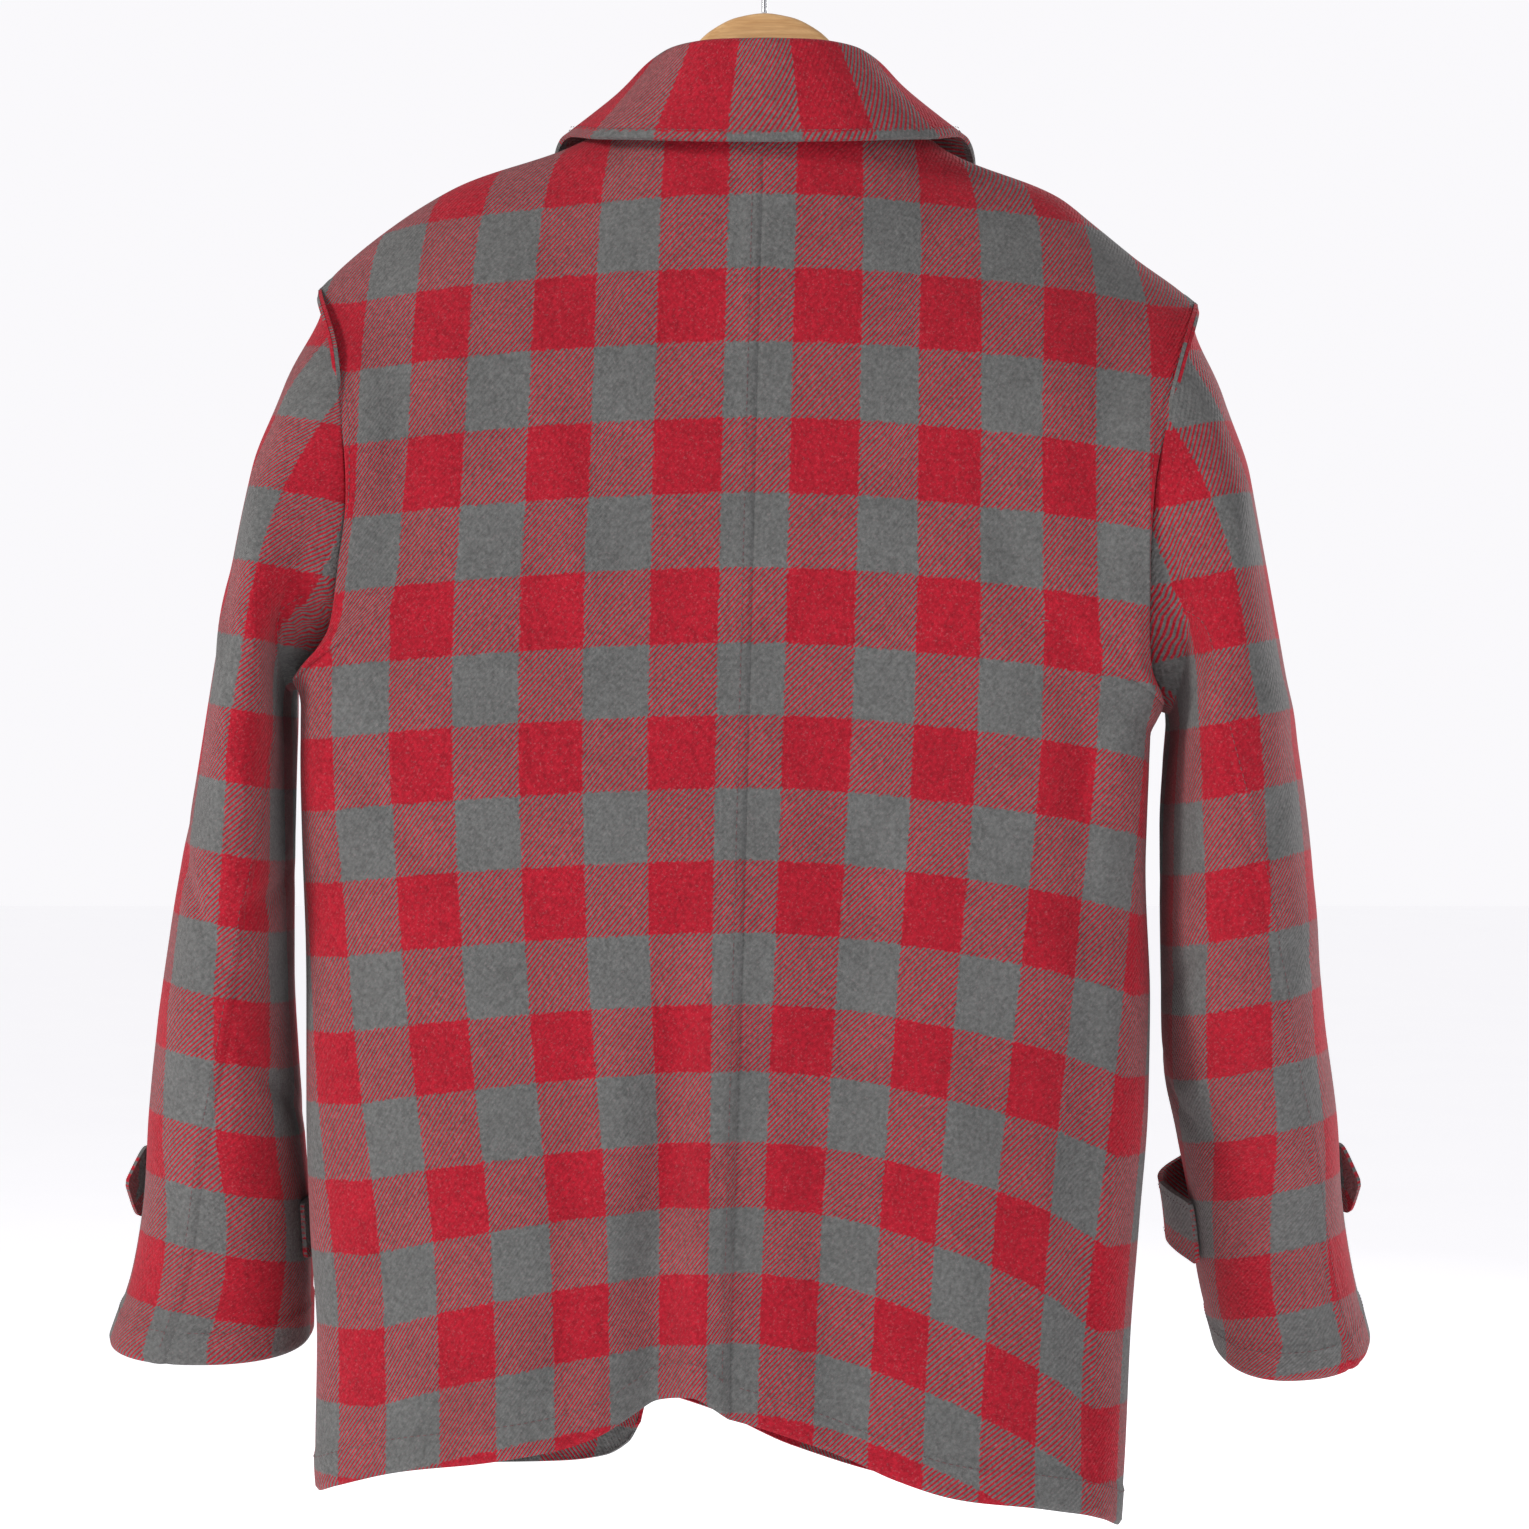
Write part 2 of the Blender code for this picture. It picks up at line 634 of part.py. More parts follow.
def button(name, place, normal, radius, material):
    """A turned disc with a rolled rim and a shallow dish, its back just clear of the cloth."""
    profile = [
        (0.0, 0.0),
        (0.82, 0.0),
        (1.0, 0.35),
        (0.97, 0.85),
        (0.86, 1.0),
        (0.66, 0.72),
        (0.0, 0.66),
    ]
    sides = 20
    vertices = [(0, 0, 0)]
    for share, rise in profile[1:-1]:
        for k in range(sides):
            turn = 2 * math.pi * k / sides
            ring = (radius * share * math.cos(turn), radius * share * math.sin(turn))
            vertices.append((*ring, BUTTON_THICK * rise))
    vertices.append((0, 0, BUTTON_THICK * profile[-1][1]))
    faces = []
    for k in range(sides):
        after = (k + 1) % sides
        faces.append((0, 1 + after, 1 + k))
        for ring in range(len(profile) - 3):
            base = 1 + ring * sides
            faces.append((base + k, base + after, base + sides + after, base + sides + k))
        last = 1 + (len(profile) - 3) * sides
        faces.append((last + k, last + after, len(vertices) - 1))
    piece = add_object(name, vertices, faces, material)
    piece.location = Vector(place) * MM
    piece.rotation_euler = Vector(normal).to_track_quat("Z", "Y").to_euler()
    return piece


def front_buttons(material):
    lowest, top = hem[FRONT, RIGHT](-FIRST_SHARE[FRONT]), NECKLINE[0][3]
    for number, height in enumerate(BUTTON_HEIGHTS, 1):
        rise = np.array((height - lowest) / (top - lowest))
        share = np.array(0.0)
        place = panel_point(FRONT, RIGHT, share, rise)
        across = panel_point(FRONT, RIGHT, share + 0.03, rise) - place
        up = panel_point(FRONT, RIGHT, share, rise + 0.01) - place
        normal = np.cross(across, up)
        normal *= -np.sign(normal[1]) / np.linalg.norm(normal)
        button(f"front_button_{number}", place + normal * 0.5, normal, BUTTON_RADIUS, material)


def tab_button(side, material):
    middle = (TAB_TOP + TAB_BOTTOM) / 2
    lift = tab_lift(side, TAB_BUTTON_ANGLE) + TAB_WALL + 0.9
    place, normal = tab_surface(side, TAB_BUTTON_ANGLE, middle, lift)
    name = "tab_button_left" if side == LEFT else "tab_button_right"
    button(name, place, normal, TAB_BUTTON_RADIUS, material)


def hanger(material):
    """The hanger: a crown inside the neck, and arms just under the cloth of the shoulders."""
    stations = []
    for side in (LEFT, RIGHT):
        half = [(x * side, top, bottom, thick) for x, top, bottom, thick in CROWN]
        tip_x = outline[side](TIP_Z[side])
        shares = section_shares()
        seam = shoulder[side](shares)
        arm_shares = [share for share in shares if NECK_SHARE < share < 0.93] + [ARM_END_SHARE]
        for share in [NECK_SHARE + 0.02] + arm_shares:
            out = (share - NECK_SHARE) / (ARM_END_SHARE - NECK_SHARE)
            slope = (np.interp(share + 0.02, shares, seam) - np.interp(share, shares, seam)) / (0.02 * tip_x)
            top = np.interp(share, shares, seam) - (CLOTH + SEAM_GAP + 0.3) * math.hypot(1, slope)
            height = ARM_HEIGHT[0] + (ARM_HEIGHT[1] - ARM_HEIGHT[0]) * out
            thick = ARM_HALF_THICK[0] + (ARM_HALF_THICK[1] - ARM_HALF_THICK[0]) * out
            half.append((tip_x * share, top, top - height, thick))
        stations.append(half)
    rows = stations[1][:0:-1] + stations[0]
    vertices, faces = [], []
    for x, top, bottom, thick in rows:
        for k in range(HANGER_SIDES):
            turn = 2 * math.pi * k / HANGER_SIDES
            y = thick * np.sign(math.cos(turn)) * abs(math.cos(turn)) ** 0.7
            z = (top + bottom) / 2 + (top - bottom) / 2 * math.sin(turn)
            at_arm = smoothstep(50, 85, abs(x))
            vertices.append((x, y + SHOULDER_Y * at_arm, z))
    for i in range(len(rows) - 1):
        for k in range(HANGER_SIDES):
            a, b = i * HANGER_SIDES + k, i * HANGER_SIDES + (k + 1) % HANGER_SIDES
            faces.append((a, b, b + HANGER_SIDES, a + HANGER_SIDES))
    last = (len(rows) - 1) * HANGER_SIDES
    faces.append(tuple(range(HANGER_SIDES))[::-1])
    faces.append(tuple(range(last, last + HANGER_SIDES)))
    return add_object("hanger", vertices, faces, material)


def hook(material):
    """The wire hook: up from the crown, out to one side and over, so the rail bears on the origin."""
    bend = HOOK_RADIUS + WIRE / 2
    middle = -HOOK_RADIUS
    path = [(0, CROWN[0][1] + 0.4), (0, HOOK_STEM_TOP)]
    for t in np.linspace(0.2, 1, 5):
        path.append((bend * t * t * (3 - 2 * t), HOOK_STEM_TOP + (middle - HOOK_STEM_TOP) * t))
    for degrees in range(15, 196, 15):
        turn = math.radians(degrees)
        path.append((bend * math.cos(turn), middle + bend * math.sin(turn)))
    curve = bpy.data.curves.new("hook", "CURVE")
    curve.dimensions = "3D"
    curve.bevel_depth = WIRE / 2 * MM
    curve.bevel_resolution = 3
    curve.use_fill_caps = True
    line = curve.splines.new("POLY")
    line.points.add(len(path) - 1)
    for point, (x, z) in zip(line.points, path):
        point.co = (x * MM, 0, z * MM, 1)
    curve.materials.append(material)
    piece = bpy.data.objects.new("hook", curve)
    bpy.context.scene.collection.objects.link(piece)
    return piece


def plain_material(name, colour, roughness, metallic=0.0):
    material = bpy.data.materials.new(name)
    material.use_nodes = True
    shader = material.node_tree.nodes["Principled BSDF"]
    shader.inputs["Base Color"].default_value = (*colour, 1)
    shader.inputs["Roughness"].default_value = roughness
    shader.inputs["Metallic"].default_value = metallic
    return material


def clear_scene():
    for thing in list(bpy.data.objects):
        bpy.data.objects.remove(thing, do_unlink=True)


def main():
    clear_scene()
    wool = plain_material("checked_wool", (0.30, 0.06, 0.07), 0.95)
    horn = plain_material("button_horn", (0.05, 0.035, 0.03), 0.35)
    wood = plain_material("hanger_wood", (0.72, 0.42, 0.18), 0.4)
    steel = plain_material("hook_wire", (0.62, 0.62, 0.63), 0.25, 1.0)
    panels = [body_panel(face, side, wool) for face in (BACK, FRONT) for side in (LEFT, RIGHT)]
    panels += [sleeve_panel(side, part, wool) for side in (LEFT, RIGHT) for part in ("upper", "under")]
    share_normals(panels)
    for panel in panels:
        outer = inset(panel.points)
        slab(panel.name, outer, outer - panel.normals * CLOTH, panel.material)
    collar(wool)
    for side in (LEFT, RIGHT):
        cuff_tab(side, wool)
        tab_button(side, horn)
    front_buttons(horn)
    hanger(wood)
    hook(steel)


main()
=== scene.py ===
"""A checked wool shirt jacket on a wooden hanger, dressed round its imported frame.

The wearer's front faces -Y and the wearer's left is +X. The tables are in
millimetres and the meshes in metres.
"""

import math

import bpy
import numpy as np
from mathutils import Matrix, Vector


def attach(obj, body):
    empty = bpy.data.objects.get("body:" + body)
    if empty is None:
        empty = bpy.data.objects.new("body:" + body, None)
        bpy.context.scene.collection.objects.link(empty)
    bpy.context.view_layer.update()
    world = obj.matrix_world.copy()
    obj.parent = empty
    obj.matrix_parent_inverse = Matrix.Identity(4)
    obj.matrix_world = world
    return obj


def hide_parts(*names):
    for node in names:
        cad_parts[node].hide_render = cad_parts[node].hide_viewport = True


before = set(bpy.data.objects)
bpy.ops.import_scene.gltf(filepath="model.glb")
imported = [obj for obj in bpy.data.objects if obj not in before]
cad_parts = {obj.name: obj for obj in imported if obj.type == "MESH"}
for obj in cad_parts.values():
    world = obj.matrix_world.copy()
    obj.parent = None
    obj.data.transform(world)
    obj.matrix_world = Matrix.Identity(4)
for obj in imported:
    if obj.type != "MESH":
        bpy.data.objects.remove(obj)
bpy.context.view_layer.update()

# ---- Studio ----
# A plain pale floor far below the hem, a pale surround and soft lamps. The
# camera stands level behind the jacket, at the middle of its height.
CAMERA_BACK, CAMERA_HEIGHT, CAMERA_LENS = 2.25, -0.510, 93.75
FLOOR_HEIGHT = -1.30
PALE_LIGHT = (0.985, 0.975, 1, 1)
LAMPS = [
    # name, place, aim, size, power, colour
    ("key", (2.6, 1.6, 0.7), (0, 0, -0.5), 0.8, 66, (1.0, 0.985, 0.97)),
    ("fill", (-1.5, 2.8, 0.3), (0, 0, -0.5), 1.6, 19, (0.97, 0.97, 1.0)),
    ("window", (-2.1, -2.1, 0.7), (0, 0, -0.5), 1.0, 66, (1.0, 0.99, 1.0)),
]

bpy.ops.object.select_all(action="DESELECT")
bpy.ops.object.camera_add(
    location=(0, CAMERA_BACK, CAMERA_HEIGHT), rotation=(math.pi / 2, 0, math.pi)
)
camera = bpy.context.object
camera.name = "camera"
camera.data.lens = CAMERA_LENS
camera.data.sensor_width = 36
bpy.context.scene.camera = camera
bpy.context.scene.view_settings.view_transform = "Standard"

for name, place, aim, size, power, colour in LAMPS:
    bpy.ops.object.light_add(type="AREA", location=place)
    lamp = bpy.context.object
    lamp.name = name
    lamp.rotation_euler = (Vector(aim) - Vector(place)).to_track_quat("-Z", "Y").to_euler()
    lamp.data.shape = "DISK"
    lamp.data.size = size
    lamp.data.energy = power
    lamp.data.color = colour

surround = bpy.data.worlds.new("pale_surround")
surround.use_nodes = True
backdrop = surround.node_tree.nodes["Background"]
backdrop.inputs["Color"].default_value = PALE_LIGHT
seen = surround.node_tree.nodes.new("ShaderNodeLightPath").outputs["Is Camera Ray"]
strength = surround.node_tree.nodes.new("ShaderNodeMapRange")
strength.inputs["To Min"].default_value = 0.34
strength.inputs["To Max"].default_value = 0.97
surround.node_tree.links.new(seen, strength.inputs["Value"])
surround.node_tree.links.new(strength.outputs[0], backdrop.inputs["Strength"])
bpy.context.scene.world = surround


def add_node(tree, kind, sockets=None, **settings):
    """A node with its settings, and its sockets linked or set to plain values."""
    node = tree.nodes.new(kind)
    for key, value in settings.items():
        setattr(node, key, value)
    for key, value in (sockets or {}).items():
        if isinstance(value, bpy.types.NodeSocket):
            tree.links.new(value, node.inputs[key])
        else:
            node.inputs[key].default_value = value
    return node


def new_material(name, roughness, **plain):
    """A material with its shader and tree, and the shader's plain values set."""
    material = bpy.data.materials.new(name)
    material.use_nodes = True
    shader = material.node_tree.nodes["Principled BSDF"]
    shader.inputs["Roughness"].default_value = roughness
    for key, value in plain.items():
        shader.inputs[key.replace("_", " ")].default_value = value
    return material, material.node_tree, shader


def speckle(tree, place, scale, low, high, detail=2.0):
    """Noise over the surface, from low to high."""
    noise = add_node(tree, "ShaderNodeTexNoise", {"Vector": place, "Scale": scale, "Detail": detail})
    spread = add_node(
        tree,
        "ShaderNodeMapRange",
        {"Value": noise.outputs[0], "From Min": 0.3, "From Max": 0.7, "To Min": low, "To Max": high},
    )
    return spread.outputs[0]


def calculate(tree, operation, first, second=0.0):
    return add_node(tree, "ShaderNodeMath", {0: first, 1: second}, operation=operation).outputs[0]


def blend_colours(tree, share, first, second, way="MIX"):
    sockets = {0: share, 6: first, 7: second}
    return add_node(tree, "ShaderNodeMix", sockets, data_type="RGBA", blend_type=way).outputs[2]


def tint(tree, shader, place, scale, first, second, detail=2.0):
    """Gives the shader a colour that wanders between two tones over the surface."""
    tone = blend_colours(tree, speckle(tree, place, scale, 0.0, 1.0, detail), first, second)
    tree.links.new(tone, shader.inputs["Base Color"])


def modify(piece, kind, **settings):
    """Applies a modifier with these settings to the active piece."""
    bpy.ops.object.modifier_add(type=kind)
    modifier = piece.modifiers[-1]
    for key, value in settings.items():
        setattr(modifier, key, value)
    bpy.ops.object.modifier_apply(modifier=modifier.name)


def smooth_and_paint(piece, degrees, material):
    """Shades the selected piece smooth below an angle, with one material."""
    bpy.ops.object.shade_smooth_by_angle(angle=math.radians(degrees))
    piece.data.materials.clear()
    piece.data.materials.append(material)


bpy.ops.mesh.primitive_plane_add(size=40, location=(0, 0, FLOOR_HEIGHT))
floor = bpy.context.object
floor.name = "floor"
floor_paint, tree, shader = new_material("pale_floor", 0.8)
at = add_node(tree, "ShaderNodeTexCoord").outputs["Object"]
tint(tree, shader, at, 3.0, (0.93, 0.93, 0.95, 1), (0.96, 0.96, 0.97, 1))
shader.inputs["Emission Color"].default_value = PALE_LIGHT
shader.inputs["Emission Strength"].default_value = 0.62
floor.data.materials.append(floor_paint)

# ---- Wool cloth ----
# Felted wool twill in a red and grey check: stripes of two colours cross in
# warp and weft, so two squares in four are plain and two are twilled mixes.
MM = 0.001
STRIPE = 37.5
TWILL_LINES = 13.0
RED_WOOL = (0.335, 0.008, 0.020, 1)
GREY_WOOL = (0.118, 0.120, 0.117, 1)
PALE_FIBRE = (0.42, 0.30, 0.31, 1)

check_weave = bpy.data.node_groups.new("check_weave", "ShaderNodeTree")
for name, way, kind in (
    ("Cloth", "INPUT", "NodeSocketVector"),
    ("Place", "INPUT", "NodeSocketVector"),
    ("Red", "INPUT", "NodeSocketColor"),
    ("Grey", "INPUT", "NodeSocketColor"),
    ("Fibre", "INPUT", "NodeSocketColor"),
    ("Colour", "OUTPUT", "NodeSocketColor"),
    ("Height", "OUTPUT", "NodeSocketFloat"),
):
    check_weave.interface.new_socket(name=name, in_out=way, socket_type=kind)
given = check_weave.nodes.new("NodeGroupInput").outputs
made = check_weave.nodes.new("NodeGroupOutput").inputs
axes = add_node(check_weave, "ShaderNodeSeparateXYZ", {0: given["Cloth"]}).outputs
stripes = []
for axis in (0, 1):
    stray = speckle(check_weave, given["Place"], 420.0, -0.02, 0.02)
    turn = calculate(check_weave, "MULTIPLY", calculate(check_weave, "ADD", axes[axis], stray), math.pi)
    wave = calculate(check_weave, "SINE", turn)
    edge = {"Value": wave, "From Min": 0.03, "From Max": -0.03}
    stripes.append(add_node(check_weave, "ShaderNodeMapRange", edge).outputs[0])
warp = blend_colours(check_weave, stripes[0], given["Grey"], given["Red"])
weft = blend_colours(check_weave, stripes[1], given["Grey"], given["Red"])
slant = calculate(check_weave, "SUBTRACT", axes[0], axes[1])
twill = calculate(check_weave, "MULTIPLY", slant, 2 * math.pi * TWILL_LINES)
rib = calculate(check_weave, "SINE", twill)
edge = {"Value": rib, "From Min": -0.5, "From Max": 0.5}
over = add_node(check_weave, "ShaderNodeMapRange", edge).outputs[0]
yarn = blend_colours(check_weave, over, warp, weft)
mottle = speckle(check_weave, given["Place"], 430.0, 0.76, 1.24, 3.0)
cloud = speckle(check_weave, given["Place"], 26.0, 0.93, 1.07)
shade = calculate(check_weave, "MULTIPLY", mottle, cloud)
grey_shade = add_node(check_weave, "ShaderNodeCombineXYZ", {0: shade, 1: shade, 2: shade}).outputs[0]
toned = blend_colours(check_weave, 1.0, yarn, grey_shade, "MULTIPLY")
fleck = speckle(check_weave, given["Place"], 900.0, -0.30, 0.13)
nap = blend_colours(check_weave, calculate(check_weave, "MAXIMUM", fleck, 0.0), toned, given["Fibre"])
check_weave.links.new(nap, made["Colour"])
raised = calculate(check_weave, "MULTIPLY", rib, 0.22)
fuzz = speckle(check_weave, given["Place"], 520.0, 0.0, 0.8, 3.0)
check_weave.links.new(calculate(check_weave, "ADD", raised, fuzz), made["Height"])

checked_wool, tree, shader = new_material(
    "felted_wool_check", 0.95, Sheen_Weight=0.10, Sheen_Roughness=0.5, Specular_IOR_Level=0.15
)
shader.inputs["Sheen Tint"].default_value = (1.0, 0.86, 0.86, 1)
weave = add_node(tree, "ShaderNodeGroup", node_tree=check_weave)
tree.links.new(add_node(tree, "ShaderNodeUVMap", uv_map="cloth").outputs[0], weave.inputs["Cloth"])
tree.links.new(add_node(tree, "ShaderNodeTexCoord").outputs["Object"], weave.inputs["Place"])
weave.inputs["Red"].default_value = RED_WOOL
weave.inputs["Grey"].default_value = GREY_WOOL
weave.inputs["Fibre"].default_value = PALE_FIBRE
tree.links.new(weave.outputs["Colour"], shader.inputs["Base Color"])
nap_height = {"Height": weave.outputs["Height"], "Strength": 0.7, "Distance": 0.0007}
bump = add_node(tree, "ShaderNodeBump", nap_height)
tree.links.new(bump.outputs[0], shader.inputs["Normal"])


def add_cloth(name, points, cloth, turn, thickness, offset, levels=0):
    """A sheet of cloth: a grid shaped to rows of points, softened, then given its thickness."""
    if turn < 0:
        points, cloth = points[:, ::-1], cloth[:, ::-1]
    rows, columns = points.shape[:2]
    bpy.ops.object.select_all(action="DESELECT")
    bpy.ops.mesh.primitive_grid_add(x_subdivisions=columns - 1, y_subdivisions=rows - 1, size=2)
    piece = bpy.context.object
    piece.name = piece.data.name = name
    mesh = piece.data
    at = np.empty(len(mesh.vertices) * 3)
    mesh.vertices.foreach_get("co", at)
    at = at.reshape(-1, 3)
    column = np.rint((at[:, 0] + 1) / 2 * (columns - 1)).astype(int)
    row = np.rint((at[:, 1] + 1) / 2 * (rows - 1)).astype(int)
    mesh.vertices.foreach_set("co", (points[row, column] * MM).ravel())
    corner = np.empty(len(mesh.loops), int)
    mesh.loops.foreach_get("vertex_index", corner)
    layer = mesh.uv_layers[0] if mesh.uv_layers else mesh.uv_layers.new()
    layer.name = "cloth"
    layer.data.foreach_set("uv", cloth[row[corner], column[corner]].ravel())
    mesh.update()
    if levels:
        modify(piece, "SUBSURF", levels=levels, render_levels=levels)
    modify(piece, "SOLIDIFY", thickness=thickness * MM, offset=offset)
    smooth_and_paint(piece, 50, checked_wool)
    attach(piece, "root")
    return piece


def grid_normals(points, turn):
    """Unit normals of a grid of surface points, from the neighbours of each."""
    normal = np.cross(np.gradient(points, axis=1), np.gradient(points, axis=0))
    return turn * normal / np.maximum(np.linalg.norm(normal, axis=-1, keepdims=True), 1e-9)


def run_from(points, axis, last=False):
    """Distance of each point from one edge of its grid, along the grid's lines."""
    grid = np.flip(points, axis) if last else points
    steps = np.linalg.norm(np.diff(grid, axis=axis), axis=-1)
    start = np.zeros_like(np.take(steps, [0], axis))
    run = np.concatenate([start, np.cumsum(steps, axis=axis)], axis)
    return np.flip(run, axis) if last else run


def seam_relief(distance, lap):
    """Rise of the cloth beside a seam: a fine groove at it, and a pressed lap if one lies under."""
    groove = -0.7 * (1 - smoothstep(0, 2.0, distance))
    if not lap:
        return groove
    return groove + 0.75 * smoothstep(0.6, 2.4, distance) * (1 - smoothstep(lap, lap + 2.2, distance))


# ---- Fronts and back ----
# Two halves of the back joined down the middle, and two fronts closed right
# over left. Each is one cut of wool, seamed at shoulder, side and armhole,
# with a turned hem.
SIDES = LEFT, RIGHT = 1, -1
FACES = BACK, FRONT = 1, -1
SIDE_NAME = {LEFT: "left", RIGHT: "right"}
CLOTH = 2.0
SECTION_POWER = 3.2
TIP_Z = {LEFT: -242.0, RIGHT: -250.0}
CORNER_Z = {LEFT: -914.0, RIGHT: -936.0}
# Height of the underarm, as a share of the way from the hem's corner to the shoulder tip.
UNDERARM_SHARE = 2 / 3
UNDERARM_Z = {side: CORNER_Z[side] + UNDERARM_SHARE * (TIP_Z[side] - CORNER_Z[side]) for side in TIP_Z}
SIDE_SEAM_Y = {LEFT: 14.0, RIGHT: -6.0}
ARMHOLE_DEPTH = 76.0
ARMHOLE_POWER = 2.3
NECK_SHARE = 0.32
SHOULDER_Y = -4.0
# Side outline: height, x on the wearer's left, x on the wearer's right.
OUTLINE = [
    (-240, 252, -248),
    (-282, 237, -232),
    (-321, 232, -221),
    (-365, 229, -213),
    (-400, 233, -211),
    (-435, 239, -211),
    (-450, 248, -212),
    (-458, 256, -213),
    (-466, 261, -216),
    (-472, 258, -219),
    (-479, 257, -221),
    (-486, 257, -218),
    (-495, 257, -214),
    (-560, 257, -213),
    (-640, 256, -217),
    (-700, 256, -216),
    (-766, 254, -211),
    (-830, 250, -206),
    (-896, 251, -203),
    (-940, 247, -200),
]
# Drape in depth: height, centre of the back, centre of the front.
DEPTH = [
    (-150, 44, -40),
    (-200, 52, -46),
    (-260, 64, -56),
    (-340, 77, -68),
    (-420, 84, -76),
    (-520, 88, -80),
    (-650, 90, -84),
    (-800, 91, -88),
    (-940, 92, -92),
]
# Centre back seam and centre front: height, x of the back seam, x of the front's middle.
CENTRES = [
    (-150, 0, 0),
    (-310, 4, 0),
    (-475, 8, 2),
    (-620, 12, 14),
    (-750, 16, 52),
    (-860, 19, 84),
    (-940, 20, 96),
]
CENTRE_HEM_Z = -865.0
CENTRE_NECK_Z = -150.0
# Top edge: share of the way from centre to shoulder tip, height on the left, height on the right.
SHOULDER = [
    (0.32, -143, -143),
    (0.43, -160, -164),
    (0.68, -182, -189),
    (0.82, -203, -217),
    (0.95, -229, -240),
    (1.0, -242, -250),
]
# Neckline: share of the way to the shoulder tip, back height, back depth, front height, front depth.
NECKLINE = [
    (0.0, -150, 44, -222, -42),
    (0.08, -150, 42, -220, -42),
    (0.16, -149, 35, -208, -38),
    (0.24, -147, 24, -184, -31),
    (0.29, -145, 11, -162, -19),
    (0.32, -143, -4, -143, -4),
]
# Back hem: share of the way from centre to side, height on the left, height on the right.
BACK_HEM = [
    (0.0, -865, -865),
    (0.09, -853, -871),
    (0.17, -856, -877),
    (0.22, -863, -881),
    (0.31, -875, -889),
    (0.40, -882, -898),
    (0.57, -889, -910),
    (0.78, -896, -917),
    (0.94, -907, -927),
    (1.0, -914, -936),
]
# Front hem: share of the way from the lap edge to side, height on the left, height on the right.
FRONT_HEM = [
    (0.0, -896, -872),
    (0.04, -908, -874),
    (0.12, -916, -878),
    (0.24, -919, -888),
    (0.40, -920, -910),
    (0.60, -921, -927),
    (0.85, -918, -934),
    (1.0, -914, -936),
]
# Folds: face, x at the hem, x at the start, height where it starts, height where it is full,
# half-width, depth (out is positive).
FOLDS = [
    (BACK, 61, 40, -520, -760, 17, -10),
    (BACK, 37, 22, -500, -740, 15, 8),
    (BACK, -44, -40, -440, -560, 24, -4),
    (BACK, -178, -172, -300, -400, 10, -5),
    (BACK, 150, 165, -560, -800, 34, 4),
    (FRONT, 175, 160, -500, -760, 26, -8),
    (FRONT, -95, -70, -480, -720, 24, 8),
    (FRONT, -150, -135, -520, -800, 18, -6),
]
# Shading folds that end above the hem: face, x, height of the middle, half-width, half-height, depth.
DIMPLES = [
    (BACK, -190, -350, 9, 75, -6),
    (BACK, 196, -330, 9, 60, -4),
    (BACK, -60, -600, 26, 90, -4),
    (FRONT, 188, -350, 10, 70, 5),
    (FRONT, -182, -360, 10, 70, 5),
]
# Front closing: share where each face's panel starts, how far the upper front
# lies out over the lower one, and the way over which it eases in.
FIRST_SHARE = {BACK: 0.0, FRONT: -0.075}
LAP_OUT = CLOTH + 1.6
LAP_EASE = 55.0
# The solid panel's own columns: steps across beyond the neck, and those along it.
ACROSS = 8
NECK_STEPS = (0, 0.26, 0.5, 0.7, 0.87, 1)
# Grid of one panel: columns, rows below the underarm, rows round the armhole.
PANEL_GRID = {BACK: (112, 190, 100), FRONT: (92, 150, 80)}
# Cloth turned under: at a body seam, a sleeve's back seam, the hem and the cuff.
SEAM_LAP, SLEEVE_LAP, HEM_LAP, CUFF_LAP = 9.0, 8.0, 20.0, 22.0
# Height of a row of the check above the chart of rows, and below it.
ROW_ABOVE, ROW_BELOW = 41.5, 38.0
# Soft creases: face, x and height of the top end, x and height of the lower end, half-width, rise.
CREASES = [
    (BACK, 118, -300, 92, -470, 12, 1.6),
    (BACK, -118, -330, -150, -455, 13, -1.8),
    (BACK, -92, -640, -120, -860, 18, 2.0),
    (BACK, 96, -640, 112, -890, 13, -2.2),
    (BACK, -196, -470, -150, -560, 9, -1.8),
    (BACK, 232, -500, 180, -570, 10, -1.8),
    (BACK, -22, -660, -36, -860, 11, -1.6),
    (BACK, -160, -650, -182, -900, 12, -1.8),
    (BACK, 30, -185, 60, -230, 10, 0.8),
    (BACK, -30, -185, -66, -236, 10, 0.8),
    (FRONT, 110, -300, 96, -520, 15, -2.0),
    (FRONT, -112, -320, -120, -540, 14, -2.0),
    (FRONT, 60, -560, 84, -880, 14, 2.2),
    (FRONT, 215, -500, 150, -600, 11, -1.8),
    (FRONT, -190, -500, -140, -600, 11, -1.8),
    (FRONT, -40, -600, -60, -860, 12, -2.0),
]
# Heights where the check's rows change at the middle, from the collar down.
ROW_HEIGHTS = [
    -194.5, -236.4, -277.8, -320.3, -361.6, -402.5, -443.8, -483, -522.8, -562,
    -601.2, -639.9, -676.3, -714.4, -749.8, -785.2, -823.3, -861,
]
# How far the rows sag at the sides: height, sag on the wearer's left, on the right.
ROW_SAG = [(-230, 15, 15), (-550, 11, 24), (-720, 19, 42), (-850, 32, 67), (-940, 36, 74)]


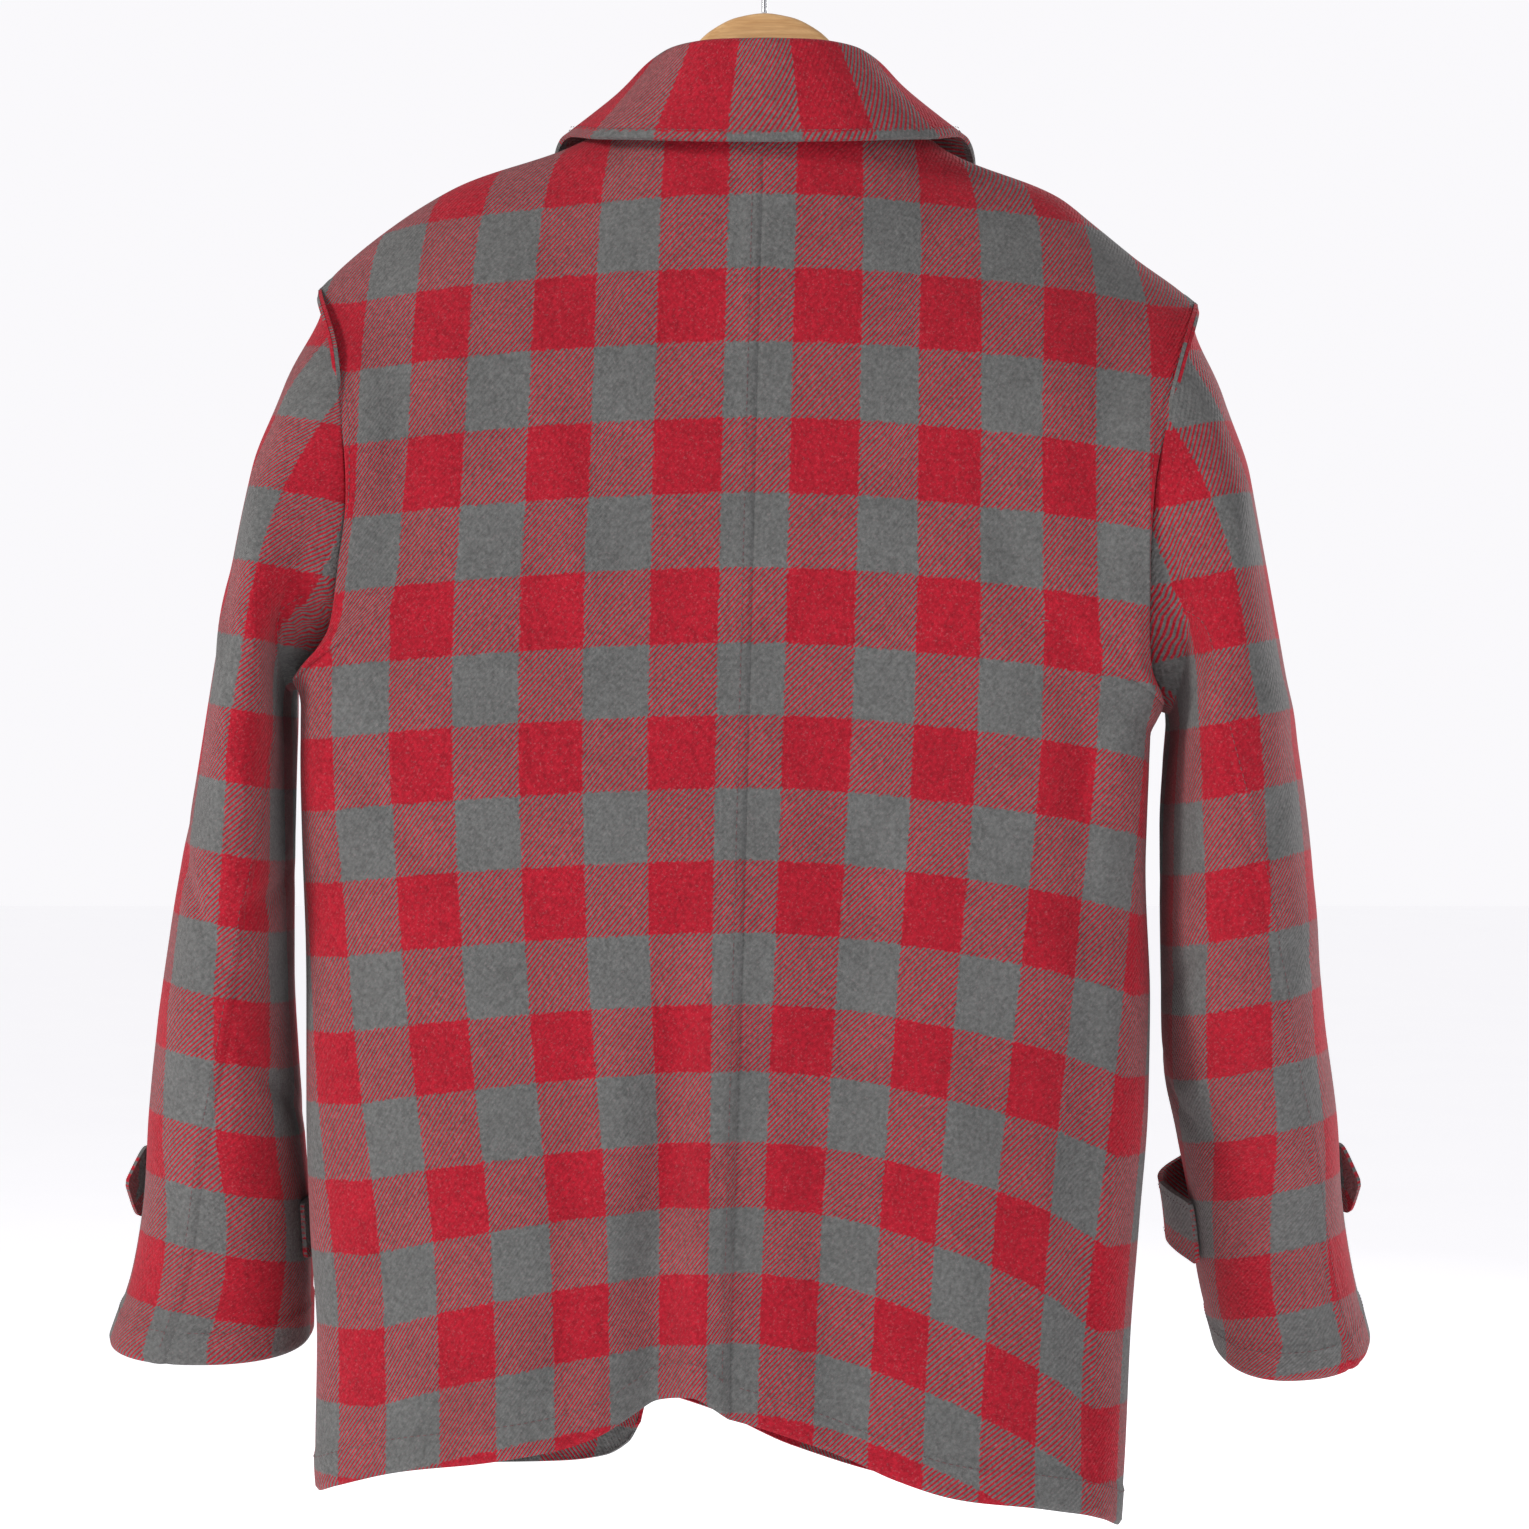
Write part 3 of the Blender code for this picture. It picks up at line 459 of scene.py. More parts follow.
def smooth_column(rows, column):
    """A smooth curve through one column of a table, without overshoot, by its first column."""
    rows = sorted(rows)
    at = np.array([row[0] for row in rows], float)
    value = np.array([row[column] for row in rows], float)
    step = np.diff(at)
    slope = np.diff(value) / step
    tangent = np.zeros(len(at))
    tangent[0], tangent[-1] = slope[0], slope[-1]
    for k in range(1, len(at) - 1):
        if slope[k - 1] * slope[k] > 0:
            tangent[k] = 2 / (1 / slope[k - 1] + 1 / slope[k])

    def curve(t):
        t = np.clip(t, at[0], at[-1])
        k = np.clip(np.searchsorted(at, t) - 1, 0, len(step) - 1)
        s = (t - at[k]) / step[k]
        rise = (1 + 2 * s) * (1 - s) ** 2 * value[k] + s * s * (3 - 2 * s) * value[k + 1]
        bend = step[k] * (s * (1 - s) ** 2 * tangent[k] - s * s * (1 - s) * tangent[k + 1])
        return rise + bend

    return curve


def smoothstep(low, high, value):
    share = np.clip((value - low) / (high - low), 0, 1)
    return share * share * (3 - 2 * share)


def outline_run(count):
    """Shares across a half section, with the way along its rounded outline to each."""
    share = np.linspace(0, 1, count)
    fall = (1 - share**SECTION_POWER) ** (1 / SECTION_POWER)
    steps = np.hypot(np.diff(share), 0.38 * np.diff(fall))
    return share, np.concatenate([[0], np.cumsum(steps)])


def section_shares():
    """Shares across a half section: the neck's, then even steps along its rounded outline."""
    share, run = outline_run(2001)
    neck = NECK_SHARE * np.array(NECK_STEPS)
    start = np.interp(NECK_SHARE, share, run)
    outer = np.interp(np.linspace(start, run[-1], ACROSS + 1), run, share)
    return np.concatenate([neck, outer[1:]])


def two_curves(table, first=1, second=2):
    """Curves through two columns of a table, by side (left, right) or face (back, front)."""
    return {LEFT: smooth_column(table, first), RIGHT: smooth_column(table, second)}


outline, shoulder, row_sag = (two_curves(table) for table in (OUTLINE, SHOULDER, ROW_SAG))
depth, centre = two_curves(DEPTH), two_curves(CENTRES)
neck_z, neck_y = two_curves(NECKLINE, 1, 3), two_curves(NECKLINE, 2, 4)
hem = {
    (face, side): curve
    for face, table in ((BACK, BACK_HEM), (FRONT, FRONT_HEM))
    for side, curve in two_curves(table).items()
}


def top_edge(face, side, share):
    """Height and depth of the panel's top edge: the neckline, then the shoulder seam."""
    on_neck = share < NECK_SHARE
    height = np.where(on_neck, neck_z[face](share), shoulder[side](share))
    return height, np.where(on_neck, neck_y[face](share), SHOULDER_Y)


def armhole_half_depth(side, height):
    top, bottom = TIP_Z[side], UNDERARM_Z[side]
    reach = np.clip(abs(2 * (height - bottom) / (top - bottom) - 1), 0, 1)
    return ARMHOLE_DEPTH * (1 - reach**ARMHOLE_POWER) ** (1 / ARMHOLE_POWER)


def side_edge_depth(face, side, height):
    """Depth of the panel's outer edge: the side seam, and above it the armhole."""
    below = np.clip((UNDERARM_Z[side] - height) / 60.0, 0, 1)
    seam = SIDE_SEAM_Y[side] * smoothstep(0, 1, below)
    at_tip = SHOULDER_Y * smoothstep(UNDERARM_Z[side], TIP_Z[side], height)
    arm = np.where(height > UNDERARM_Z[side], armhole_half_depth(side, height), 0)
    return np.where(height > UNDERARM_Z[side], face * arm + at_tip, seam)


def folds(face, x, height):
    out = 0.0
    for on, x_hem, x_start, start, full, half_width, rise in FOLDS:
        if on == face:
            down = smoothstep(-start, -full, -height)
            line = x_start + (x_hem - x_start) * smoothstep(-start, 900, -height)
            out = out + rise * down * np.exp(-(((x - line) / half_width) ** 2))
    for on, x_at, middle, half_width, half_height, rise in DIMPLES:
        if on == face:
            away = ((x - x_at) / half_width) ** 2 + ((height - middle) / half_height) ** 2
            out = out + rise * np.exp(-away)
    return out


def panel_point(face, side, share, rise):
    """A point of the body's outer surface: share across (below 0 is the lap), rise from hem to top."""
    inside = np.clip(share, 0, 1)
    top_z, top_y = top_edge(face, side, inside)
    edge_z = CORNER_Z[side] + (TIP_Z[side] - CORNER_Z[side]) * rise
    middle = centre[face](CENTRE_HEM_Z + (CENTRE_NECK_Z - CENTRE_HEM_Z) * rise)
    across = outline[side](edge_z) - middle
    hem_z = hem[face, side]((share - FIRST_SHARE[face]) / (1 - FIRST_SHARE[face]))
    height = hem_z + (top_z - hem_z) * rise
    x = middle + across * share
    drop = np.clip((top_z - height) / 120.0, 0, 1)
    over_top = np.sqrt(1 - (1 - drop) ** 2)
    open_y = top_y + (depth[face](height) - top_y) * over_top
    edge_y = side_edge_depth(face, side, edge_z)
    power = SECTION_POWER + 4.5 * smoothstep(UNDERARM_Z[side] - 150, UNDERARM_Z[side] + 20, edge_z)
    round_off = (1 - inside**power) ** (1 / power)
    y = edge_y + (open_y - edge_y) * round_off
    y = y + folds(face, x, height) * round_off * smoothstep(0, 60, top_z - height)
    if face == FRONT and side == RIGHT:
        past_edge = (x - middle) / LAP_EASE
        y = y - LAP_OUT * smoothstep(-1.0, -0.45, past_edge)
    return np.stack([x, y, height], axis=-1)


def creases(face, x, height):
    """Depth that the soft creases add, out from the cloth."""
    out = 0.0
    for on, x_top, z_top, x_low, z_low, half_width, rise in CREASES:
        if on == face:
            down = (z_top - height) / (z_top - z_low)
            line = x_top + (x_low - x_top) * down
            length = smoothstep(-0.15, 0.3, down) * (1 - smoothstep(0.7, 1.15, down))
            out = out + 1.5 * rise * length * np.exp(-(((x - line) / half_width) ** 2))
    return out


def check_row(height):
    """The check's row at a height: 0 to 1 is the grey row under the collar, rising upwards."""
    rows = -np.array(ROW_HEIGHTS)
    down = -np.asarray(height)
    above = (down - rows[0]) / ROW_ABOVE
    below = len(rows) - 1 + (down - rows[-1]) / ROW_BELOW
    inside = np.interp(down, rows, np.arange(len(rows)))
    return 1 - np.where(down < rows[0], above, np.where(down > rows[-1], below, inside))


def panel_rises(below, round_arm):
    """Rows of a body panel, as shares from hem corner to shoulder tip."""
    turn = np.cos(np.radians(np.linspace(180, 0, round_arm + 1)))
    reach = np.sign(turn) * abs(turn) ** (2 / ARMHOLE_POWER)
    arm = UNDERARM_SHARE + (1 - UNDERARM_SHARE) * (reach + 1) / 2
    return np.concatenate([np.linspace(0, UNDERARM_SHARE, below + 1)[:-1], arm])


def panel_shares(count, first):
    """Columns of a body panel, closer together beside its seams."""
    share, run = outline_run(4001)
    even = np.linspace(0, 1, count + 1)
    closer = even - 0.11 * np.sin(2 * np.pi * even) / (2 * np.pi) * 4
    across = np.interp(closer * run[-1], run, share)
    lap = np.linspace(first, 0, 9)[:-1] if first else []
    return np.concatenate([lap, across])


def draped_panel(face, side, share, rise):
    """The panel's outer points. Beside the armhole they follow the solid's own few columns."""
    free = panel_point(face, side, share, rise)
    few = section_shares()
    sewn = free.copy()
    rows = rise[:, :1]
    posts = panel_point(face, side, few[None, :] + 0 * rows, rows + 0 * few[None, :])
    for k in range(len(rows)):
        for axis in range(3):
            post = smooth_column(list(zip(few, posts[k, :, axis])), 1)
            sewn[k, :, axis] = np.where(share[k] >= 0, post(share[k]), free[k, :, axis])
    near = smoothstep(0.62, 0.85, share) * smoothstep(UNDERARM_SHARE - 0.06, UNDERARM_SHARE, rise)
    return free + (sewn - free) * near[..., None]


body_panels = {}
for face in FACES:
    for side in SIDES:
        name = ("back_" if face == BACK else "front_") + SIDE_NAME[side]
        columns, *rows = PANEL_GRID[face]
        shares = panel_shares(columns, FIRST_SHARE[face])
        share, rise = np.meshgrid(shares, panel_rises(*rows))
        smooth = draped_panel(face, side, share, rise)
        turn = -face * side
        normals = grid_normals(smooth, turn)
        from_middle, from_hem = run_from(smooth, 1), run_from(smooth, 0)
        relief = creases(face, smooth[..., 0], smooth[..., 2]) * smoothstep(0, 25, from_hem)
        relief = relief + seam_relief(from_middle, SEAM_LAP if name != "back_right" else 0)
        above_arm = smoothstep(UNDERARM_SHARE, UNDERARM_SHARE + 0.03, rise)
        relief = relief + 0.5 * above_arm * seam_relief(run_from(smooth, 1, True), SEAM_LAP)
        relief = relief + seam_relief(run_from(smooth, 0, True), 0) + seam_relief(from_hem, HEM_LAP)
        points = smooth + normals * relief[..., None]
        start = np.array([np.interp(0, share[0], row) for row in from_middle])
        spread = 1 + 0.17 * smoothstep(450, 880, -smooth[..., 2])
        across = (from_middle - start[:, None]) * spread
        sag = row_sag[side](smooth[..., 2]) * np.clip(abs(across) / 230, 0, 1.1) ** 1.6
        column = 0.5 - face * side * across / STRIPE
        cloth = np.stack([column, check_row(smooth[..., 2] + sag)], axis=-1)
        piece = add_cloth("wool_" + name, points, cloth, turn, CLOTH, -1)
        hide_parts(name)
        body_panels[name] = (points, normals)

# ---- Sleeves ----
# Each sleeve is an upper and an under piece. Their back seam is lapped and
# topstitched, and the cloth hangs almost flat from the shoulder's tip.
# Sleeve sections, armhole to cuff: length share, outer x and z, inner x and z,
# half-depth, middle y, drop of the back edge.
SLEEVES = {
    LEFT: [
        (0.00, 252, -242, 261, -466, 76, 0, 0),
        (0.04, 265, -261, 268, -469, 80, 0, 0),
        (0.12, 279, -315, 269, -481, 85, 0, 0),
        (0.21, 291, -366, 268, -505, 88, 0, 0),
        (0.32, 305, -440, 268, -540, 88, 0, 2),
        (0.44, 319, -519, 268, -585, 82, -2, 6),
        (0.55, 331, -580, 268, -630, 76, -6, 8),
        (0.66, 342, -645, 266, -680, 70, -14, 10),
        (0.77, 350, -705, 263, -730, 64, -24, 11),
        (0.85, 354, -750, 261, -765, 57, -32, 11),
        (0.92, 362, -795, 260, -800, 54, -39, 11),
        (1.00, 377, -838, 261, -838, 52, -47, 11),
    ],
    RIGHT: [
        (0.00, -248, -250, -222, -478.667, 76, 0, 0),
        (0.04, -256, -270, -228, -482, 80, 0, 0),
        (0.12, -267, -322, -229, -494, 85, 0, 0),
        (0.21, -277, -376, -227, -514, 88, 0, 0),
        (0.32, -290, -446, -225, -548, 88, -1, 2),
        (0.44, -303, -519, -225, -588, 82, -4, 8),
        (0.55, -311, -580, -226, -630, 76, -12, 13),
        (0.66, -318, -645, -228, -678, 70, -26, 17),
        (0.77, -329, -710, -238, -725, 64, -46, 19),
        (0.85, -334, -755, -247, -766, 56, -62, 19),
        (0.92, -343, -800, -253, -806, 52, -80, 19),
        (1.00, -356, -844, -265, -850, 50, -98, 19),
    ],
}
SLEEVE_POWER = 2.3
# Angle of the sleeve's seams from its outer line, by way of the back, at armhole and cuff.
BACK_SEAM = {LEFT: (165.0, 72.0), RIGHT: (120.0, 52.0)}
ARMHOLE_SEAM = 120.0
FRONT_SEAM = 240.0
sleeve_column = {
    side: [smooth_column(rows, column) for column in range(1, 8)]
    for side, rows in SLEEVES.items()
}


def sleeve_point(side, angle, length):
    """A point of the sleeve's outer surface: degrees round from the outer line by way of the back."""
    outer_x, outer_z, inner_x, inner_z, half_depth, middle_y, back_drop = (
        column(length) for column in sleeve_column[side]
    )
    turn = np.radians(angle)
    power = 2 / SLEEVE_POWER
    along = np.sign(np.cos(turn)) * abs(np.cos(turn)) ** power
    away = np.sign(np.sin(turn)) * abs(np.sin(turn)) ** power
    x = (outer_x + inner_x) / 2 + (outer_x - inner_x) / 2 * along
    z = (outer_z + inner_z) / 2 + (outer_z - inner_z) / 2 * along - back_drop * away
    at_arm = 1 - smoothstep(0, 0.16, length)
    y = middle_y + half_depth * away
    arm_x = outline[side](z)
    under = smoothstep(0, 0.035, length) * np.clip(-1.6 * along, 0, 1)
    x = x + (arm_x - x) * at_arm * (1 - 0.6 * smoothstep(0, 0.09, length)) * (1 - under)
    tip_y = SHOULDER_Y * smoothstep(UNDERARM_Z[side], TIP_Z[side], z) * at_arm
    return np.stack([x, y + tip_y, z], axis=-1)


def back_seam_angle(side, length):
    start, end = BACK_SEAM[side]
    seam = start + (end - start) * smoothstep(-0.2, 1.1, length)
    return ARMHOLE_SEAM + (seam - ARMHOLE_SEAM) * smoothstep(0, 0.12, length)


SLEEVE_TILT = math.radians(11)
# Creases round the arm: side, angle, length share, half-angle, half-length, lean, rise.
SLEEVE_CREASES = [
    (LEFT, 40, 0.30, 40, 0.020, 0.10, 1.8),
    (LEFT, 120, 0.47, 45, 0.018, -0.12, -2.6),
    (LEFT, 60, 0.52, 38, 0.017, 0.10, -2.2),
    (LEFT, 95, 0.60, 50, 0.020, -0.08, 2.2),
    (LEFT, 150, 0.68, 40, 0.016, 0.12, -2.2),
    (LEFT, 280, 0.50, 50, 0.018, 0.10, -2.6),
    (LEFT, 300, 0.62, 45, 0.018, -0.12, -2.2),
    (RIGHT, 50, 0.34, 40, 0.020, -0.10, 1.8),
    (RIGHT, 110, 0.48, 45, 0.018, 0.12, -2.6),
    (RIGHT, 70, 0.56, 40, 0.017, -0.10, -2.2),
    (RIGHT, 100, 0.64, 50, 0.020, 0.08, 2.0),
    (RIGHT, 150, 0.71, 40, 0.016, -0.12, -2.0),
    (RIGHT, 280, 0.50, 50, 0.018, 0.10, -2.6),
    (RIGHT, 300, 0.62, 45, 0.018, -0.12, -2.2),
]


def sleeve_creases(side, angle, length):
    out = 0.0
    for on, at, middle, half_angle, half_length, lean, rise in SLEEVE_CREASES:
        if on == side:
            away = (angle - at + 180) % 360 - 180
            along = (length - middle - lean * away / 100) / half_length
            out = out + rise * np.exp(-((away / half_angle) ** 2) - along**2)
    return out


def level_run(side, angle, height):
    """Distance round the sleeve at one level, from its outer line by way of the back."""
    turns, levels = np.linspace(-130, 250, 191), np.linspace(-242, -866, 160)
    length = np.linspace(0, 1, 241)
    shape = sleeve_point(side, turns[None, :], length[:, None])
    table = np.empty((len(levels), len(turns), 2))
    for k in range(len(turns)):
        for axis in (0, 1):
            table[:, k, axis] = np.interp(-levels, -shape[:, k, 2], shape[:, k, axis])
    run = run_from(table, 1)
    run = run - run[:, [65]]
    row = np.clip((height - levels[0]) / (levels[1] - levels[0]), 0, len(levels) - 1.001)
    column = np.clip((angle - turns[0]) / (turns[1] - turns[0]), 0, len(turns) - 1.001)
    i, j = row.astype(int), column.astype(int)
    down, on = row - i, column - j
    upper = run[i, j] * (1 - on) + run[i, j + 1] * on
    lower = run[i + 1, j] * (1 - on) + run[i + 1, j + 1] * on
    return upper * (1 - down) + lower * down


sleeve_panels = {}
for side in SIDES:
    for part, columns in (("upper", 76), ("under", 36)):
        share, length = np.meshgrid(np.linspace(0, 1, columns + 1), np.linspace(0, 1, 221) ** 1.1)
        seam = back_seam_angle(side, length)
        if part == "upper":
            angle = FRONT_SEAM - 360 + (seam - FRONT_SEAM + 360) * share
        else:
            angle = seam + (FRONT_SEAM - seam) * share
        smooth = sleeve_point(side, angle, length)
        normals = grid_normals(smooth, -side)
        name = f"sleeve_{SIDE_NAME[side]}_{part}"
        upper = part == "upper"
        relief = sleeve_creases(side, angle, length)
        relief = relief + seam_relief(run_from(smooth, 1, upper), SLEEVE_LAP if upper else 0)
        relief = relief + seam_relief(run_from(smooth, 1, not upper), 0)
        at_cuff = run_from(smooth, 0, True)
        relief = relief * smoothstep(0, 0.05, length) + seam_relief(at_cuff, CUFF_LAP)
        points = smooth + normals * relief[..., None]
        around = level_run(side, angle, smooth[..., 2])
        out_from_tip = abs(smooth[..., 0]) - 250
        down = -smooth[..., 2] * math.cos(SLEEVE_TILT) + out_from_tip * math.sin(SLEEVE_TILT)
        cloth = np.stack([0.5 + side * around / STRIPE, check_row(-down - 5)], axis=-1)
        piece = add_cloth("wool_" + name, points, cloth, -side, CLOTH, -1)
        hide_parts(name)
        sleeve_panels[name] = (points, normals)

# ---- Collar ----
# One folded collar: its stand rises from the neckline and turns over into the
# fall, which covers the neck seam. Two plies of wool, topstitched at the edge.
# Collar, from the centre back (0) by the neck point (0.5) to its front end (1) on each side:
# fold x, y, z, then lower edge x, y, z. Its wall is two plies of cloth.
COLLAR = [
    (0.00, 0, 49, -109, 0, 58, -167),
    (0.20, 27, 45, -109, 44, 55, -166),
    (0.36, 49, 30, -110, 78, 43, -163),
    (0.46, 59, 14, -113, 100, 26, -160),
    (0.54, 66, -2, -118, 112, 2, -154),
    (0.66, 70, -20, -134, 121, -26, -170),
    (0.80, 58, -42, -166, 112, -54, -204),
    (0.92, 32, -52, -198, 88, -64, -240),
    (1.00, 14, -54, -215, 66, -68, -262),
]
COLLAR_WALL = 2.4
COLLAR_END = 0.94
COLLAR_STEPS = 34
COLLAR_FOLD = 3.6
COLLAR_CLEAR = 4.0
COLLAR_FOOT = 1.5
COLLAR_ROW = 56.0


def neckline(side):
    """The panels' top edge at the neck, from the centre back (0) by the neck point to the front (1)."""
    shares = NECK_SHARE * np.array(NECK_STEPS)
    places, points = [], []
    for face in FACES:
        for share in shares if face == BACK else shares[-2::-1]:
            part = 0.5 * share / NECK_SHARE
            places.append(part if face == BACK else 1 - part)
            points.append(panel_point(face, side, np.array(share), np.array(1.0)))
    return np.array(places), np.array(points)


def surface_depth(face, side, x, height):
    """Depth of the body's outer surface where it passes through x at this height."""
    rise = 0.9
    for _ in range(8):
        edge_z = CORNER_Z[side] + (TIP_Z[side] - CORNER_Z[side]) * rise
        middle = centre[face](CENTRE_HEM_Z + (CENTRE_NECK_Z - CENTRE_HEM_Z) * rise)
        share = np.clip((x - middle) / (outline[side](edge_z) - middle), 0, 0.95)
        low, top = hem[face, side](share), top_edge(face, side, share)[0]
        rise = np.clip((height - low) / (top - low), 0, 1)
    return float(panel_point(face, side, np.array(share), np.array(rise))[1])


collar_column = [smooth_column(COLLAR, k) for k in range(1, 7)]
necks = {side: neckline(side) for side in SIDES}
collar_lines = []
for place in np.linspace(-COLLAR_END, COLLAR_END, COLLAR_STEPS + 1):
    side = LEFT if place > 0 else RIGHT
    along = abs(place)
    mirror = np.array([side, 1, 1])
    fold = np.array([collar_column[k](along) for k in range(3)]) * mirror
    edge = np.array([collar_column[k](along) for k in range(3, 6)]) * mirror
    at, neck = necks[side]
    foot = np.array([np.interp(along, at, neck[:, k]) for k in range(3)])
    k = min(np.searchsorted(at, along, side="right"), len(at) - 1)
    seam = (neck[k] - neck[k - 1]) / np.linalg.norm(neck[k] - neck[k - 1])
    outward = (edge - foot) * np.array([1, 1, 0])
    outward /= np.linalg.norm(outward)
    up = np.array([0, 0, 1])
    stand_top = fold - outward * COLLAR_FOLD - up * COLLAR_FOLD
    fall_top = fold + outward * COLLAR_FOLD - up * COLLAR_FOLD
    away = stand_top - foot
    away -= seam * (away @ seam)
    foot = foot + away * COLLAR_FOOT / np.linalg.norm(away)
    line = [foot + (stand_top - foot) * t for t in np.linspace(0, 1, 4)]
    for turn in np.radians([45, 90, 135]):
        line.append(fold + COLLAR_FOLD * (math.sin(turn) * up - math.cos(turn) * outward - up))
    for t in np.linspace(0, 1, 7):
        point = fall_top + (edge - fall_top) * t
        for face in FACES:
            if face * (point[1] - SHOULDER_Y) > 0:
                under = surface_depth(face, side, point[0], point[2])
                point[1] = face * max(face * point[1], face * under + COLLAR_CLEAR)
        line.append(point)
    collar_lines.append(line)
collar_points = np.array(collar_lines)
collar_normals = -grid_normals(collar_points, 1)
up_from_edge = run_from(collar_points, 1, True)
along_fall = run_from(collar_points[:, -3:], 0)[:, 0]
along_fall = along_fall - np.interp(0, np.linspace(-1, 1, len(along_fall)), along_fall)
column = 0.5 - along_fall[:, None] / STRIPE + 0 * up_from_edge
cloth = np.stack([column, 1 + (up_from_edge - 5) / COLLAR_ROW], axis=-1)
collar = add_cloth("wool_collar", collar_points, cloth, -1, COLLAR_WALL, 0, levels=3)
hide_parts("collar")

# ---- Cuff tabs ----
# A pointed tab of doubled wool, sewn down behind the wrist, passed round the
# inner side, where it stands off a little, and buttoned in front.
# Its edges are in shares of the sleeve's length, and its ends in degrees round it.
TAB_WALL = 3.0
TAB_TOP, TAB_BOTTOM = 0.825, 0.893
TAB_START, TAB_LEAVE = 158.0, 318.0
TAB_STEPS = 14
TAB_LIFT = {LEFT: 4.0, RIGHT: 13.0}
TAB_REACH = 34.0
# The tab's free end: share of its reach, and its width there as a share of the full width.
TAB_POINT = [(0.2, 1.0), (0.4, 1.0), (0.6, 1.0), (0.7, 0.98), (0.85, 0.56), (0.97, 0.2), (1.0, 0.1)]
TAB_BUTTON_ANGLE = 305.0
SEAM_GAP = 0.3


def tab_surface(side, angle, length, lift):
    """A point lifted off the sleeve, with the sleeve's outward direction there."""
    step = 0.5
    around = sleeve_point(side, angle + step, length) - sleeve_point(side, angle - step, length)
    down = sleeve_point(side, angle, length + 0.01) - sleeve_point(side, angle, length - 0.01)
    normal = -side * np.cross(around, down)
    normal /= np.linalg.norm(normal)
    return sleeve_point(side, angle, length) + normal * lift, normal


def tab_lift(side, angle):
    bump = math.exp(-(((angle - 192) / 20) ** 2))
    return SEAM_GAP + 0.5 + TAB_LIFT[side] * bump


tab_panels = {}
for side in SIDES:
    name = "cuff_tab_" + SIDE_NAME[side]
    rows = np.linspace(TAB_TOP, TAB_BOTTOM, 7)
    inner, normals = [], []
    for angle in np.linspace(TAB_START, TAB_LEAVE, TAB_STEPS * 2 + 1):
        pairs = [tab_surface(side, angle, row, tab_lift(side, angle)) for row in rows]
        inner.append([pair[0] for pair in pairs])
        normals.append([pair[1] for pair in pairs])
    inner, normals = np.array(inner), np.array(normals)
    way = (inner[-1] - inner[-2]).mean(axis=0)
    way /= np.linalg.norm(way)
    last, last_normals = inner[-1], normals[-1]
    middle = last.mean(axis=0)
    for reach, narrow in TAB_POINT:
        point_row = middle + (last - middle) * narrow + way * TAB_REACH * reach
        inner = np.concatenate([inner, point_row[None]])
        normals = np.concatenate([normals, last_normals[None]])
    points = inner + normals * TAB_WALL / 2
    along, across = run_from(points, 0), run_from(points, 1)
    cloth = np.stack([along[:, 3:4] / STRIPE + 0 * across, 0.35 + across / ROW_ABOVE], axis=-1)
    tab = add_cloth("wool_" + name, points, cloth, side, TAB_WALL * 0.9, 0, levels=2)
    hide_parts(name)
    tab_panels[side] = (points, normals)

# ---- Topstitching ----
# Rows of short stitches in thread near the cloth's tone, beside the middle
# back seam, armholes, sleeve seams, front edge and hems, and round the collar.
STITCH_PITCH, STITCH_LENGTH = 3.8, 2.8
THREAD_WIDE, THREAD_HIGH = 0.55, 0.4
# How far in from its edge each row runs.
SEAM_ROW, HEM_ROW, CUFF_ROW, TAB_ROW = 6.0, 19.0, 21.0, 5.0
thread_finish, tree, shader = new_material("matt_thread", 0.8, Sheen_Weight=0.15)
at = add_node(tree, "ShaderNodeTexCoord").outputs["Object"]
tint(tree, shader, at, 900.0, (0.10, 0.035, 0.04, 1), (0.17, 0.075, 0.08, 1))
plies = {"Height": speckle(tree, at, 2500.0, 0.0, 1.0), "Distance": 0.0002}
tree.links.new(add_node(tree, "ShaderNodeBump", plies).outputs[0], shader.inputs["Normal"])

bpy.ops.object.select_all(action="DESELECT")
bpy.ops.mesh.primitive_uv_sphere_add(segments=6, ring_count=4, radius=1)
one_stitch = bpy.context.object
stitch_points = np.array([v.co[:] for v in one_stitch.data.vertices])
stitch_faces = [tuple(p.vertices) for p in one_stitch.data.polygons]
bpy.data.objects.remove(one_stitch)


def add_stitches(name, places, ways, normals, sizes):
    """Copies of the one stitch, each laid along its way on the cloth."""
    sides = np.cross(normals, ways)
    sides /= np.linalg.norm(sides, axis=1, keepdims=True)
    flat_ways = np.cross(sides, normals)
    shaped = stitch_points * np.array(sizes) / 2
    points = places[:, None] + sum(
        shaped[None, :, k, None] * axis[:, None] for k, axis in enumerate((flat_ways, sides, normals))
    )
    starts = range(0, len(places) * len(stitch_points), len(stitch_points))
    faces = [tuple(v + start for v in face) for start in starts for face in stitch_faces]
    mesh = bpy.data.meshes.new(name)
    mesh.from_pydata((points.reshape(-1, 3) * MM).tolist(), [], faces)
    mesh.shade_smooth()
    mesh.materials.append(thread_finish)
    piece = bpy.data.objects.new(name, mesh)
    bpy.context.scene.collection.objects.link(piece)
    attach(piece, "root")
    return piece


